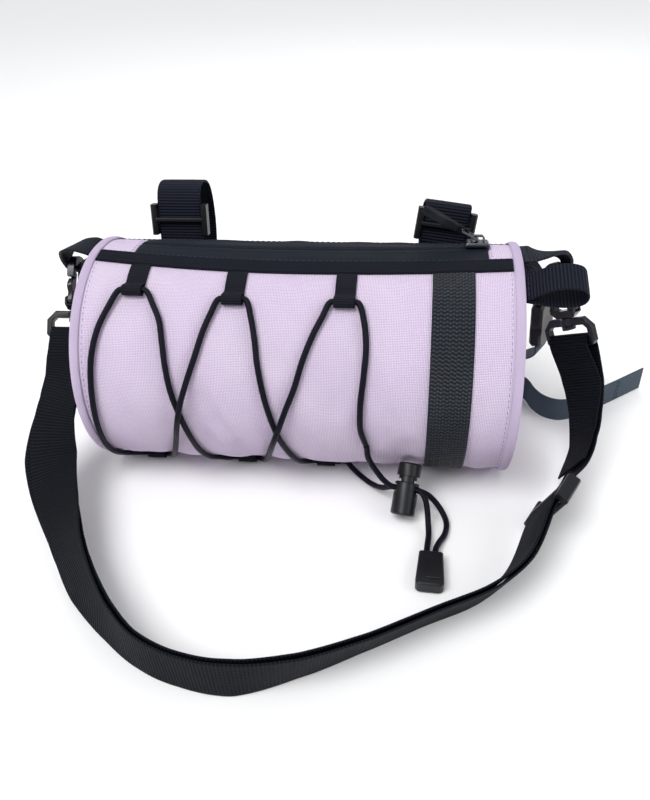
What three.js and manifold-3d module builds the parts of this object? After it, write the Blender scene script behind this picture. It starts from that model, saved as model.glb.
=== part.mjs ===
// Handlebar barrel bag with a laced front, webbing loops and a clipped-on shoulder strap.
// Millimetres. +X runs along the barrel to its right end, -Y is the front, +Z is up.
// The origin is the middle of the bottom binding strip, on the surface that the bag stands on.
import * as THREE from 'three';
import { mergeVertices } from 'three/addons/utils/BufferGeometryUtils.js';
import Module from 'manifold-3d';

const wasm = await Module();
wasm.setup();

// Clearances
const GAP = 0.3;

// Barrel
const BARREL_LENGTH = 220;
const BARREL_RADIUS = 59;
const BASE_SAG = 1.5;
const WALL = 2.6;
const END_WALL = 2;
const END_CROWN = 1.4;
const PIPING_WIDTH = 4.6;
const PIPING_HEIGHT = 1.2;

// Bindings, zip and webbing on the barrel
const BINDING_THICKNESS = 1.2;
const BINDING_WIDTH = 9.6;
const BOTTOM_BINDING_WIDTH = 12;
const BINDING_ANGLE = 71;
const TAPE_WIDTH = 12.6;
const TAPE_THICKNESS = 1;
const COIL_WIDTH = 3;
const ZIP_LENGTH = 179;
const ZIP_CENTRE = 3.5;
const FRONT_WEBBING_WIDTH = 20;
const FRONT_WEBBING_CENTRE = 76;
const TAB_WIDTH = 10;
const TAB_LENGTH = 19.5;
const BOTTOM_TAB_LENGTH = 24;
const TAB_THICKNESS = 0.55;
const LAYER_PLAY = 0.1;
const EYE_PLAY = 0.6;

// Elastic cord
const CORD_DIAMETER = 3;
const CORD_SIDES = 8;

// Straps and their hardware
const STRAP_WIDTH = 25;
const STRAP_THICKNESS = 1.2;
const RING_WIRE = 4;
const SLIDER_BAR = 2.4;
const SLIDER_RAIL = 3.4;
const SLIDER_LENGTH = 17;
const HOOK_WIDTH = 16;
const HOOK_THICKNESS = 4.4;
const HOOK_BAR = 3.2;
const SWIVEL_RADIUS = 2;
const GRAB_WIDTH = 15;
const GRAB_REACH = 27;
const END_LOOP_WIDTH = 24;
const STABILISER_WIDTH = 15;

// Cord lock and cord end
const LOCK_RADIUS = 6.2;
const LOCK_HEIGHT = 17;
const LOCK_BORE = 5;
const LOCK_TRAVEL = 3;
const PLUNGER_HEAD = 6.7;
const CORD_END_LENGTH = 21;
const CORD_END_WIDTH = 13.4;
const CORD_END_THICKNESS = 7;

// Heights that follow from the sizes above
const HALF_LENGTH = BARREL_LENGTH / 2;
const SHELL_HALF = HALF_LENGTH - END_WALL - END_CROWN;
const AXIS_HEIGHT = BARREL_RADIUS - BASE_SAG + GAP + BINDING_THICKNESS;
const CORD_RADIUS = CORD_DIAMETER / 2;

// How far each seam on top climbs towards the barrel's two ends, in degrees round the barrel
const SEAM_BOW = {
  binding: { left: 8, right: 5 },
  zip: { left: 9, right: 9 },
  rear: { left: 4, right: 3 },
};

const MATERIALS = {
  lilac: { color: 0xd8c9ea, roughness: 0.85, metalness: 0 },
  webbing: { color: 0x14161c, roughness: 0.8, metalness: 0 },
  tape: { color: 0x1d2026, roughness: 0.75, metalness: 0 },
  cord: { color: 0x15151f, roughness: 0.7, metalness: 0 },
  plastic: { color: 0x0f1013, roughness: 0.4, metalness: 0 },
  zipMetal: { color: 0x2a2c30, roughness: 0.3, metalness: 0.9 },
  slate: { color: 0x4a5560, roughness: 0.8, metalness: 0 },
};

const bag = new THREE.Group();

function add(name, geometry, material) {
  const mesh = new THREE.Mesh(geometry, new THREE.MeshStandardMaterial(MATERIALS[material]));
  mesh.name = name;
  bag.add(mesh);
}

// Closed solid through rings of points that all have the same count.
// Open lofts get flat caps, and a looped one joins its last ring to its first.
function loft(rings, looped = false) {
  const count = rings[0].length;
  const positions = rings.flat().flatMap((point) => [point.x, point.y, point.z]);
  const index = [];
  const last = looped ? rings.length : rings.length - 1;
  for (let i = 0; i < last; i++) {
    const next = (i + 1) % rings.length;
    for (let j = 0; j < count; j++) {
      const k = (j + 1) % count;
      index.push(i * count + j, i * count + k, next * count + k);
      index.push(i * count + j, next * count + k, next * count + j);
    }
  }
  if (!looped) {
    const middles = [rings[0], rings[rings.length - 1]].map((ring) => {
      const middle = ring.reduce((sum, point) => sum.add(point), new THREE.Vector3());
      return middle.divideScalar(count);
    });
    const flat = capTriangles(rings[0]);
    const top = (rings.length - 1) * count;
    if (flat) {
      flat.forEach(([a, b, c]) => index.push(a, c, b));
      flat.forEach(([a, b, c]) => index.push(top + a, top + b, top + c));
    } else {
      const base = positions.length / 3;
      middles.forEach((middle) => positions.push(middle.x, middle.y, middle.z));
      for (let j = 0; j < count; j++) {
        const k = (j + 1) % count;
        index.push(base, k, j, base + 1, top + j, top + k);
      }
    }
  }
  const geometry = new THREE.BufferGeometry();
  geometry.setAttribute('position', new THREE.Float32BufferAttribute(positions, 3));
  geometry.setIndex(index);
  return outward(geometry);
}

// A ring made as two facing rows of points is capped row to row, any other one from its middle.
function capTriangles(ring) {
  if (!ring.rows) return null;
  const half = ring.length / 2;
  const triangles = [];
  for (let j = 0; j < half - 1; j++) {
    const far = ring.length - 1 - j;
    triangles.push([j, j + 1, far], [j + 1, far - 1, far]);
  }
  return triangles;
}

// Turns every face of a closed mesh to point out of it.
function outward(geometry) {
  const point = geometry.attributes.position;
  const index = geometry.index.array;
  const corner = (i) => new THREE.Vector3().fromBufferAttribute(point, i);
  let volume = 0;
  for (let i = 0; i < index.length; i += 3) {
    volume += corner(index[i]).dot(corner(index[i + 1]).cross(corner(index[i + 2])));
  }
  if (volume < 0) {
    for (let i = 0; i < index.length; i += 3) {
      [index[i], index[i + 1]] = [index[i + 1], index[i]];
    }
  }
  return geometry;
}

const radians = THREE.MathUtils.degToRad;
const degrees = THREE.MathUtils.radToDeg;
const vector = (x, y, z) => new THREE.Vector3(x, y, z);

// Point on the barrel's skin, at an angle from the front's middle height upwards, in degrees.
// The bottom is pressed flat by the sag of the base.
function skin(x, angle, offset = 0) {
  const turn = radians(angle);
  const flat = BARREL_RADIUS - BASE_SAG + offset;
  let radius = BARREL_RADIUS + offset;
  if (-Math.sin(turn) * radius > flat) radius = flat / -Math.sin(turn);
  return vector(x, -radius * Math.cos(turn), AXIS_HEIGHT + radius * Math.sin(turn));
}

const skinAngle = (length) => degrees(length / BARREL_RADIUS);

function seam(angle, bow, x) {
  const share = x / HALF_LENGTH;
  return angle + (x < 0 ? bow.left : bow.right) * share * share;
}

const LEVEL = { left: 0, right: 0 };
const BINDING_TOP = BINDING_ANGLE + skinAngle(BINDING_WIDTH);
const ZIP_FRONT = BINDING_TOP + skinAngle(TAPE_WIDTH);
const ZIP_REAR = ZIP_FRONT + skinAngle(COIL_WIDTH);
const REAR_EDGE = ZIP_REAR + skinAngle(TAPE_WIDTH);
const BASE_FRONT = -90 + skinAngle(BOTTOM_BINDING_WIDTH / 2);
const BASE_REAR = 270 - skinAngle(BOTTOM_BINDING_WIDTH / 2);
const HAIR = skinAngle(GAP);

const SEAMS = {
  baseFront: (x) => seam(BASE_FRONT, LEVEL, x),
  bindingLow: (x) => seam(BINDING_ANGLE, SEAM_BOW.binding, x),
  bindingTop: (x) => seam(BINDING_TOP, SEAM_BOW.binding, x),
  zipFront: (x) => seam(ZIP_FRONT, SEAM_BOW.zip, x),
  zipRear: (x) => seam(ZIP_REAR, SEAM_BOW.zip, x),
  rearEdge: (x) => seam(REAR_EDGE, SEAM_BOW.rear, x),
  baseRear: (x) => seam(BASE_REAR, LEVEL, x),
};

// Curved plate on the barrel between two seams, from x0 to x1 and between two offsets of the skin.
function plate({ x0, x1, from, to, inner, outer, lengths = 1, steps }) {
  const rings = [];
  for (let i = 0; i <= lengths; i++) {
    const x = THREE.MathUtils.lerp(x0, x1, i / lengths);
    const low = from(x);
    const high = to(x);
    const out = [];
    const back = [];
    for (let j = 0; j <= steps; j++) {
      const angle = THREE.MathUtils.lerp(low, high, j / steps);
      out.push(skin(x, angle, outer));
      back.unshift(skin(x, angle, inner));
    }
    const ring = [...out, ...back];
    ring.rows = true;
    rings.push(ring);
  }
  return loft(rings);
}

// Body panels
const BOW_LENGTHS = 7;
const STRIP_HALF = HALF_LENGTH - END_CROWN - PIPING_WIDTH;
const edge = (line, shift) => (x) => line(x) + shift * HAIR;

add('front_panel', plate({
  x0: -SHELL_HALF, x1: SHELL_HALF, from: edge(SEAMS.baseFront, 0), to: edge(SEAMS.bindingTop, -1),
  inner: -WALL, outer: 0, lengths: BOW_LENGTHS, steps: 26,
}), 'lilac');

add('rear_panel', plate({
  x0: -SHELL_HALF, x1: SHELL_HALF, from: edge(SEAMS.rearEdge, 1), to: edge(SEAMS.baseRear, 0),
  inner: -WALL, outer: 0, lengths: BOW_LENGTHS, steps: 22,
}), 'webbing');

add('bottom_binding', plate({
  x0: -STRIP_HALF, x1: STRIP_HALF, from: edge(SEAMS.baseFront, 0), to: (x) => SEAMS.baseRear(x) - 360,
  inner: GAP, outer: GAP + BINDING_THICKNESS, steps: 4,
}), 'webbing');

add('top_binding', plate({
  x0: -STRIP_HALF, x1: STRIP_HALF, from: SEAMS.bindingLow, to: SEAMS.bindingTop,
  inner: GAP, outer: GAP + BINDING_THICKNESS, lengths: BOW_LENGTHS, steps: 4,
}), 'webbing');

// Zip in the top, with a lilac patch past each of its ends
const ZIP_LEFT = ZIP_CENTRE - ZIP_LENGTH / 2;
const ZIP_RIGHT = ZIP_CENTRE + ZIP_LENGTH / 2;
const TAPE = {
  x0: ZIP_LEFT, x1: ZIP_RIGHT, inner: -TAPE_THICKNESS, outer: 0, lengths: BOW_LENGTHS, steps: 4,
};

add('zip_tape_front', plate({ ...TAPE, from: SEAMS.bindingTop, to: edge(SEAMS.zipFront, -1) }), 'tape');
add('zip_tape_rear', plate({ ...TAPE, from: edge(SEAMS.zipRear, 1), to: SEAMS.rearEdge }), 'tape');
add('zip_coil', plate({
  ...TAPE, from: SEAMS.zipFront, to: SEAMS.zipRear, inner: -TAPE_THICKNESS, outer: GAP, steps: 2,
}), 'tape');

for (const [name, x0, x1] of [
  ['zip_end_patch_left', -SHELL_HALF, ZIP_LEFT - GAP],
  ['zip_end_patch_right', ZIP_RIGHT + GAP, SHELL_HALF],
]) {
  add(name, plate({
    x0, x1, from: SEAMS.bindingTop, to: SEAMS.rearEdge, inner: -WALL, outer: 0, lengths: 3, steps: 8,
  }), 'lilac');
}

// End panels, slightly crowned, and the piping over the rims
const RIM_STEPS = 46;
const BASE_CORNER = degrees(Math.asin(1 - BASE_SAG / BARREL_RADIUS));
const rimAngles = Array.from({ length: RIM_STEPS + 1 }, (_, i) => (
  THREE.MathUtils.lerp(-BASE_CORNER, 180 + BASE_CORNER, i / RIM_STEPS)
));

function rimRing(x, share) {
  return rimAngles.map((angle) => {
    const point = skin(x, angle);
    return vector(x, point.y * share, AXIS_HEIGHT + (point.z - AXIS_HEIGHT) * share);
  });
}

const END_SECTIONS = [
  { share: 1, crown: 0 },
  { share: 0.97, crown: 0.25 },
  { share: 0.7, crown: 0.75 },
  { share: 0.2, crown: 1 },
];
const PIPING_SECTION = [
  { along: 0, height: 0 },
  { along: 0, height: 0.6 },
  { along: 0.5, height: 1 },
  { along: 1, height: 0.6 },
  { along: 1, height: 0 },
];
const END_FACE = SHELL_HALF + END_WALL;

for (const [name, side] of [['left', -1], ['right', 1]]) {
  const rings = [rimRing(side * (SHELL_HALF + GAP), 1)];
  for (const { share, crown } of END_SECTIONS) {
    rings.push(rimRing(side * (END_FACE + END_CROWN * crown), share));
  }
  add(`end_panel_${name}`, loft(rings), 'lilac');
  const sections = rimAngles.map((angle) => PIPING_SECTION.map(({ along, height }) => (
    skin(side * (END_FACE + GAP - PIPING_WIDTH * (1 - along)), angle, GAP + height * PIPING_HEIGHT)
  )));
  add(`piping_${name}`, loft(sections, true), 'lilac');
}

// Wide webbing down the front
add('front_webbing', plate({
  x0: FRONT_WEBBING_CENTRE - FRONT_WEBBING_WIDTH / 2, x1: FRONT_WEBBING_CENTRE + FRONT_WEBBING_WIDTH / 2,
  from: edge(SEAMS.baseFront, 1), to: edge(SEAMS.bindingLow, -1),
  inner: GAP, outer: GAP + BINDING_THICKNESS, steps: 30,
}), 'webbing');

// Bands: webbing that runs through stations, each with a place, a direction across and a width
function band(stations, thickness, steps = 3) {
  const path = new THREE.CatmullRomCurve3(stations.map(({ at }) => at), false, 'centripetal');
  const spans = stations.length - 1;
  const rings = [];
  for (let i = 0; i <= spans * steps; i++) {
    const place = i / steps;
    const here = stations[Math.min(Math.floor(place), spans - 1)];
    const next = stations[Math.min(Math.floor(place) + 1, spans)];
    const share = place - Math.min(Math.floor(place), spans - 1);
    const at = path.getPoint(place / spans);
    const tangent = path.getTangent(place / spans);
    const across = here.across.clone().lerp(next.across, share).normalize();
    const normal = tangent.clone().cross(across).normalize();
    const half = THREE.MathUtils.lerp(here.width, next.width, share) / 2;
    const thick = THREE.MathUtils.lerp(here.gather ?? 1, next.gather ?? 1, share) * thickness / 2;
    rings.push([[-1, -1], [1, -1], [1, 1], [-1, 1]].map(([side, face]) => (
      at.clone().addScaledVector(across, side * half).addScaledVector(normal, face * thick)
    )));
  }
  rings.forEach((ring) => { ring.rows = true; });
  return loft(rings);
}

// Tabs that hold the elastic cord: webbing folded double, with the cord in the eye of the fold
const EYE_RADIUS = CORD_RADIUS + EYE_PLAY;
const EYE_TURN = EYE_RADIUS + TAB_THICKNESS / 2;
const EYE_OUTER = EYE_RADIUS + TAB_THICKNESS;
const EYE_HEIGHT = GAP + EYE_OUTER;
const LAYER_HEIGHTS = { lower: GAP + TAB_THICKNESS / 2, upper: GAP + 1.5 * TAB_THICKNESS + LAYER_PLAY };
const EYE_DEGREES = [-60, -30, 0, 30, 60, 90, 120, 150];

// Fold of a tab as distances from its sewn edge and heights over the skin
function tabFold(length) {
  const eye = length - EYE_OUTER;
  const lower = [0, 0.25, 0.5, 0.75, 1].map((share) => [share * eye, LAYER_HEIGHTS.lower]);
  const turn = EYE_DEGREES.map((angle) => [
    eye + EYE_TURN * Math.cos(radians(angle)), EYE_HEIGHT + EYE_TURN * Math.sin(radians(angle)),
  ]);
  const end = eye - 2 * EYE_OUTER;
  const upper = [1, 0.66, 0.33, 0].map((share) => [share * end, LAYER_HEIGHTS.upper]);
  return [...lower, ...turn, ...upper];
}

const TABS = [
  { name: 'top_tab_1', centre: -78.5, top: true },
  { name: 'top_tab_2', centre: -28.5, top: true },
  { name: 'top_tab_3', centre: 25.2, top: true },
  { name: 'bottom_tab_1', centre: -86.5, top: false },
  { name: 'bottom_tab_2', centre: -33, top: false },
  { name: 'bottom_tab_3', centre: 12, top: false },
];

function tabStart({ centre, top }) {
  return top ? SEAMS.bindingLow(centre) - 2 * HAIR : SEAMS.baseFront(centre) + HAIR;
}

function eyeAngle(tab) {
  const length = (tab.top ? TAB_LENGTH : BOTTOM_TAB_LENGTH) - EYE_OUTER;
  return tabStart(tab) + (tab.top ? -1 : 1) * skinAngle(length);
}

for (const tab of TABS) {
  const direction = tab.top ? -1 : 1;
  const fold = tabFold(tab.top ? TAB_LENGTH : BOTTOM_TAB_LENGTH);
  add(tab.name, band(fold.map(([along, height]) => ({
    at: skin(tab.centre, tabStart(tab) + direction * skinAngle(along), height),
    across: vector(1, 0, 0),
    width: TAB_WIDTH,
  })), TAB_THICKNESS, 1), 'webbing');
}

// Elastic cord, laced from tab to tab, with points given as place along the barrel, angle and lift
const IN_EYE = TAB_THICKNESS + EYE_PLAY;
const OVER = CORD_DIAMETER + GAP;
const tabNamed = Object.fromEntries(TABS.map((tab) => [tab.name, tab]));

function throughEye(name, direction) {
  const tab = tabNamed[name];
  return [-1, -0.4, 0.4, 1].map((share) => (
    [tab.centre + direction * share * (TAB_WIDTH / 2 + CORD_RADIUS), eyeAngle(tab), IN_EYE]
  ));
}

const LACING = [
  [36.5, -16, 0], [34.2, -6, 0], [34.2, 8, 0], [35.6, 22, 0], [36.3, 35, 0], [34.9, 46, 0.3],
  ...throughEye('top_tab_3', -1),
  [15.4, 48, 0.3], [11, 39, 0], [6.7, 28, 0], [2.6, 15, 0], [-2, 4, 0.6], [-5.6, -5, 2.6],
  [-8.3, -11.5, OVER + 0.2], [-11, -19, 2.6], [-13.6, -28, 0.6],
  [-17, -40, 0], [-20.4, -51, 0], [-24, -59, 0.8],
  ...throughEye('bottom_tab_2', -1),
  [-42, -59, 0.8], [-46, -52, 0], [-49, -43, 0],
  [-51.3, -30, 0], [-53.2, -14, 0], [-55.6, -1, 0], [-58.4, 11.5, 0],
  [-60.2, 23.5, 0], [-61.6, 34, 0], [-63.6, 44, 0], [-67.2, 51, 0.3],
  ...throughEye('top_tab_1', -1),
  [-89.6, 50, 0.3], [-94.2, 39, 0], [-97, 27, 0], [-98.3, 15, 0], [-99.3, 3, 0], [-100.6, -12, 0],
  [-102, -28, 0], [-102.4, -42, 0], [-100.4, -53, 0.1], [-96, -60.5, 0.8],
  ...throughEye('bottom_tab_1', 1),
  [-77.4, -60.5, 0.8], [-74, -53.5, 0.1], [-70, -44, 0], [-64.6, -30, 0], [-60.4, -17, 0.6], [-57.6, -8, 2.6],
  [-55.2, 0, OVER + 0.2], [-52.7, 8, 2.6], [-49.8, 16.5, 0.6],
  [-45.3, 28.5, 0], [-41.8, 39.5, 0], [-38.6, 47.5, 0.3],
  ...throughEye('top_tab_2', 1),
  [-18.8, 46.5, 0.3], [-16.6, 37, 0], [-14.9, 25, 0], [-12.4, 11, 0], [-9.4, -3, 0],
  [-6.4, -16, 0], [-3, -30, 0], [-0.6, -43, 0], [1, -53, 0.1], [3.4, -60, 0.8],
  ...throughEye('bottom_tab_3', 1),
  [21, -62.5, 0.9],
];

function section(radius, sides) {
  const shape = new THREE.Shape();
  for (let i = 0; i < sides; i++) {
    const turn = (2 * Math.PI * (i + 0.5)) / sides;
    const x = radius * Math.cos(turn);
    const y = radius * Math.sin(turn);
    if (i) shape.lineTo(x, y);
    else shape.moveTo(x, y);
  }
  return shape;
}

function cordTube(points, radius, sides, steps) {
  const path = new THREE.CatmullRomCurve3(points, false, 'centripetal');
  return new THREE.ExtrudeGeometry(section(radius, sides), { steps, extrudePath: path, bevelEnabled: false });
}

const LACING_STEPS = 160;
const lacingPoints = LACING.map(([x, angle, lift]) => skin(x, angle, GAP + CORD_RADIUS + lift));
add('lacing_cord', cordTube(lacingPoints, CORD_RADIUS, CORD_SIDES, LACING_STEPS), 'cord');

// Solids: joined and cut pieces
function solid(geometry) {
  const bare = geometry.clone();
  bare.deleteAttribute('normal');
  bare.deleteAttribute('uv');
  const merged = mergeVertices(bare, 1e-4);
  return new wasm.Manifold(new wasm.Mesh({
    numProp: 3,
    vertProperties: new Float32Array(merged.attributes.position.array),
    triVerts: new Uint32Array(merged.index.array),
  }));
}

function meshed(body) {
  const mesh = body.getMesh();
  const geometry = new THREE.BufferGeometry();
  geometry.setAttribute('position', new THREE.BufferAttribute(new Float32Array(mesh.vertProperties), 3));
  geometry.setIndex(new THREE.BufferAttribute(new Uint32Array(mesh.triVerts), 1));
  return geometry;
}

const joined = (parts) => meshed(parts.map(solid).reduce((sum, part) => sum.add(part)));

function cut(geometry, tools) {
  return meshed(tools.map(solid).reduce((rest, tool) => rest.subtract(tool), solid(geometry)));
}

// Block with chamfered long edges, its length along X, centred at a place
function block([length, depth, height], [x, y, z], chamfer = 0.5) {
  const half = { y: depth / 2, z: height / 2 };
  const shape = new THREE.Shape();
  shape.moveTo(-half.y + chamfer, -half.z);
  shape.lineTo(half.y - chamfer, -half.z);
  shape.lineTo(half.y, -half.z + chamfer);
  shape.lineTo(half.y, half.z - chamfer);
  shape.lineTo(half.y - chamfer, half.z);
  shape.lineTo(-half.y + chamfer, half.z);
  shape.lineTo(-half.y, half.z - chamfer);
  shape.lineTo(-half.y, -half.z + chamfer);
  const bar = new THREE.ExtrudeGeometry(shape, { depth: length, bevelEnabled: false });
  bar.translate(0, 0, -length / 2);
  bar.applyMatrix4(new THREE.Matrix4().makeBasis(vector(0, 1, 0), vector(0, 0, 1), vector(1, 0, 0)));
  return bar.translate(x, y, z);
}

// Flat outline in X and Y, made thick along Z and centred on it
function slab(outline, thickness, bevel = 0) {
  const shape = new THREE.Shape(outline.map(([x, y]) => new THREE.Vector2(x, y)));
  const geometry = new THREE.ExtrudeGeometry(shape, {
    depth: thickness - 2 * bevel,
    bevelEnabled: bevel > 0,
    bevelSize: bevel,
    bevelThickness: bevel,
    bevelOffset: -bevel,
    bevelSegments: 1,
  });
  return geometry.translate(0, 0, bevel - thickness / 2);
}

function rod(radius, from, to, sides = 12) {
  const length = to - from;
  return new THREE.CylinderGeometry(radius, radius, length, sides).translate(0, from + length / 2, 0);
}

function arc([x, y], radius, from, to, steps) {
  return Array.from({ length: steps + 1 }, (_, i) => {
    const turn = radians(THREE.MathUtils.lerp(from, to, i / steps));
    return [x + radius * Math.cos(turn), y + radius * Math.sin(turn)];
  });
}

function frameAt(origin, x, y) {
  const axisY = y.clone().normalize();
  const axisX = x.clone().addScaledVector(axisY, -x.dot(axisY)).normalize();
  const axisZ = axisX.clone().cross(axisY);
  return new THREE.Matrix4().makeBasis(axisX, axisY, axisZ).setPosition(origin);
}

// Cord lock: a barrel with a spring plunger, standing askew on its lower rim
const LOCK = {
  crossing: vector(57.5, -58.95, 14.4),
  axis: vector(0.127, 0.688, 0.71).normalize(),
  strands: vector(0.986, -0.167, -0.015).normalize(),
};
const LOCK_CROSSING = 13.6;
const LOCK_FLOOR = 1.5;
const LOCK_ROUNDING = 0.8;
const STRAND_SPACING = CORD_DIAMETER + 2 * GAP;
const SLOT_HEIGHT = CORD_DIAMETER + 2 * GAP;
const SLOT_WIDTH = CORD_DIAMETER + STRAND_SPACING + 2 * GAP;
const PLUNGER_STEM = LOCK_BORE - GAP;
const PLUNGER_FOOT = LOCK_FLOOR + LOCK_TRAVEL + 1;
const PLUNGER_NECK = LOCK_HEIGHT + GAP + LOCK_TRAVEL;
const HEAD_RADIUS = LOCK_RADIUS - GAP;
const lockFoot = LOCK.crossing.clone().addScaledVector(LOCK.axis, -LOCK_CROSSING);
const lockFrame = frameAt(lockFoot, LOCK.strands, LOCK.axis);
const lockDepth = LOCK.strands.clone().cross(LOCK.axis);

const lathe = (profile, sides) => (
  new THREE.LatheGeometry(profile.map(([r, h]) => new THREE.Vector2(r, h)), sides)
);
const throughBox = (height, middle) => (
  new THREE.BoxGeometry(4 * LOCK_RADIUS, height, SLOT_WIDTH).translate(0, middle, 0)
);

add('cord_lock_barrel', cut(lathe([
  [0, 0], [LOCK_RADIUS - LOCK_ROUNDING, 0], [LOCK_RADIUS, LOCK_ROUNDING],
  [LOCK_RADIUS, LOCK_HEIGHT - LOCK_ROUNDING / 2], [LOCK_RADIUS - LOCK_ROUNDING / 2, LOCK_HEIGHT],
  [LOCK_BORE, LOCK_HEIGHT], [LOCK_BORE, LOCK_FLOOR], [0, LOCK_FLOOR],
], 18), [throughBox(SLOT_HEIGHT, LOCK_CROSSING)]).applyMatrix4(lockFrame), 'plastic');

add('cord_lock_plunger', cut(lathe([
  [0, PLUNGER_FOOT], [PLUNGER_STEM, PLUNGER_FOOT], [PLUNGER_STEM, PLUNGER_NECK], [HEAD_RADIUS, PLUNGER_NECK],
  [HEAD_RADIUS, PLUNGER_NECK + PLUNGER_HEAD - LOCK_ROUNDING],
  [HEAD_RADIUS - LOCK_ROUNDING, PLUNGER_NECK + PLUNGER_HEAD], [0, PLUNGER_NECK + PLUNGER_HEAD],
], 18), [
  throughBox(SLOT_HEIGHT + LOCK_TRAVEL, LOCK_CROSSING + LOCK_TRAVEL / 2),
]).applyMatrix4(lockFrame), 'plastic');

// Free ends of the elastic cord, through the cord lock and down to the cord end on the floor
const inLock = (level, along) => LOCK.crossing.clone()
  .addScaledVector(lockDepth, level * STRAND_SPACING / 2)
  .addScaledVector(LOCK.strands, along);
const LEAD = 2.5;
const leadOn = (end, before) => [GAP, GAP + LEAD].map((along) => (
  end.clone().addScaledVector(end.clone().sub(before).normalize(), along)
));
const LOCK_REACH = LOCK_RADIUS + 1;
const points = (rows) => rows.map(([x, y, z]) => vector(x, y, z));
const STRAND_STEPS = 26;
const CORD_END_TOP = -92.6;

const strands = [
  {
    name: 'cord_strand_a', level: 1, start: leadOn(lacingPoints[0], lacingPoints[1]),
    before: [[37.5, -57.9, 34.5], [39.6, -57, 28], [42.6, -57, 22.6], [46, -57.9, 18.4]],
    after: [
      [67.2, -64.6, 13.2], [68.3, -67.6, 9.6], [69, -72, 5.4], [69.4, -79, 2.8], [68.9, -85, 3.4],
      [68.5, -89.4, 3.9],
    ],
    end: [68.4, CORD_END_TOP + GAP, 3.9],
  },
  {
    name: 'cord_strand_b', level: -1, start: leadOn(lacingPoints.at(-1), lacingPoints.at(-2)),
    before: [[27.6, -32.4, 2.9], [33, -38, 2.2], [39.4, -45.6, 4], [45.2, -52.6, 8.6]],
    after: [
      [69, -59.4, 11], [73, -60.4, 7], [76.4, -63.4, 3.4], [78.4, -69.4, 2], [77.4, -77.4, 2.2],
      [74.4, -84.4, 3.2], [72.8, -89.4, 3.9],
    ],
    end: [72.6, CORD_END_TOP + GAP, 3.9],
  },
];
for (const { name, level, start, before, after, end } of strands) {
  const route = [
    ...start, ...points(before), inLock(level, -LOCK_REACH), inLock(level, 0), inLock(level, LOCK_REACH),
    ...points(after), vector(...end),
  ];
  add(name, cordTube(route, CORD_RADIUS, CORD_SIDES, STRAND_STEPS), 'cord');
}

// Cord end: a small block with a raised panel, lying on its back
const CORD_END_NECK = 11.5;
const CORD_END_CORNER = 2.4;
const CORD_END_PANEL = 0.6;
const cordEndBody = CORD_END_THICKNESS - CORD_END_PANEL;
const neck = CORD_END_NECK / 2;
const foot = CORD_END_WIDTH / 2;
add('cord_end', joined([
  slab([
    [-neck + 0.8, 0], [neck - 0.8, 0], [neck, -0.8], [foot, CORD_END_CORNER - CORD_END_LENGTH],
    ...arc([foot - CORD_END_CORNER, CORD_END_CORNER - CORD_END_LENGTH], CORD_END_CORNER, -30, -90, 2),
    ...arc([CORD_END_CORNER - foot, CORD_END_CORNER - CORD_END_LENGTH], CORD_END_CORNER, -90, -150, 2),
    [-foot, CORD_END_CORNER - CORD_END_LENGTH], [-neck, -0.8],
  ], cordEndBody, 0.7),
  block(
    [foot, CORD_END_LENGTH * 0.6, 2 * CORD_END_PANEL],
    [foot * 0.25, -CORD_END_LENGTH * 0.52, cordEndBody / 2], 0.2,
  ),
]).applyMatrix4(frameAt(
  vector(70.5, CORD_END_TOP, GAP + cordEndBody / 2), vector(1, -0.04, 0), vector(0.04, 1, 0),
)), 'plastic');

// Swivel hooks: a ring for the shoulder strap, a hook that turns in its collar, and a spring gate
const RING_OUTER = 31.8;
const RING_OPENING = 25.8;
const RING_HEIGHT_OPEN = 7;
const RING_COLLAR = 4;
const HOLE_RADIUS = SWIVEL_RADIUS + GAP;
const BOSS_RADIUS = HOLE_RADIUS + 1.6;
const collarLow = RING_WIRE / 2 + RING_HEIGHT_OPEN;
const collarHigh = collarLow + RING_COLLAR;
const HEAD_HEIGHT = 1.8;
const HOOK_FOOT = collarHigh + GAP;
const HOOK_TOP = HOOK_FOOT + 30;
const HOOK_BASE_THICKNESS = 6;
const GATE_THICKNESS = 2.8;
const GATE_PIN = 1;
const GATE_EYE = 2.1;
const half = HOOK_WIDTH / 2;
const inside = half - HOOK_BAR;
const bightHeight = HOOK_TOP - half;
const gatePivot = [half - 1.8, HOOK_FOOT + 5.2];
const noseLow = bightHeight - 4;

function ringGeometry() {
  const outer = RING_OUTER / 2;
  const opening = RING_OPENING / 2;
  const low = -RING_WIRE / 2;
  const plateShape = slab([
    [-outer + 2, low], [outer - 2, low], [outer, low + 2], [outer, collarHigh - 5],
    [outer - 5, collarHigh], [5 - outer, collarHigh], [-outer, collarHigh - 5], [-outer, low + 2],
  ], RING_WIRE, 0.6);
  const window = slab([
    [-opening, RING_WIRE / 2], [opening, RING_WIRE / 2], [opening, collarLow - 2], [opening - 2, collarLow],
    [2 - opening, collarLow], [-opening, collarLow - 2],
  ], 2 * RING_WIRE);
  const boss = rod(BOSS_RADIUS, collarLow, collarHigh, 14);
  return cut(joined([plateShape, boss]), [window, rod(HOLE_RADIUS, collarLow - 1, collarHigh + 1, 14)]);
}

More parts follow.
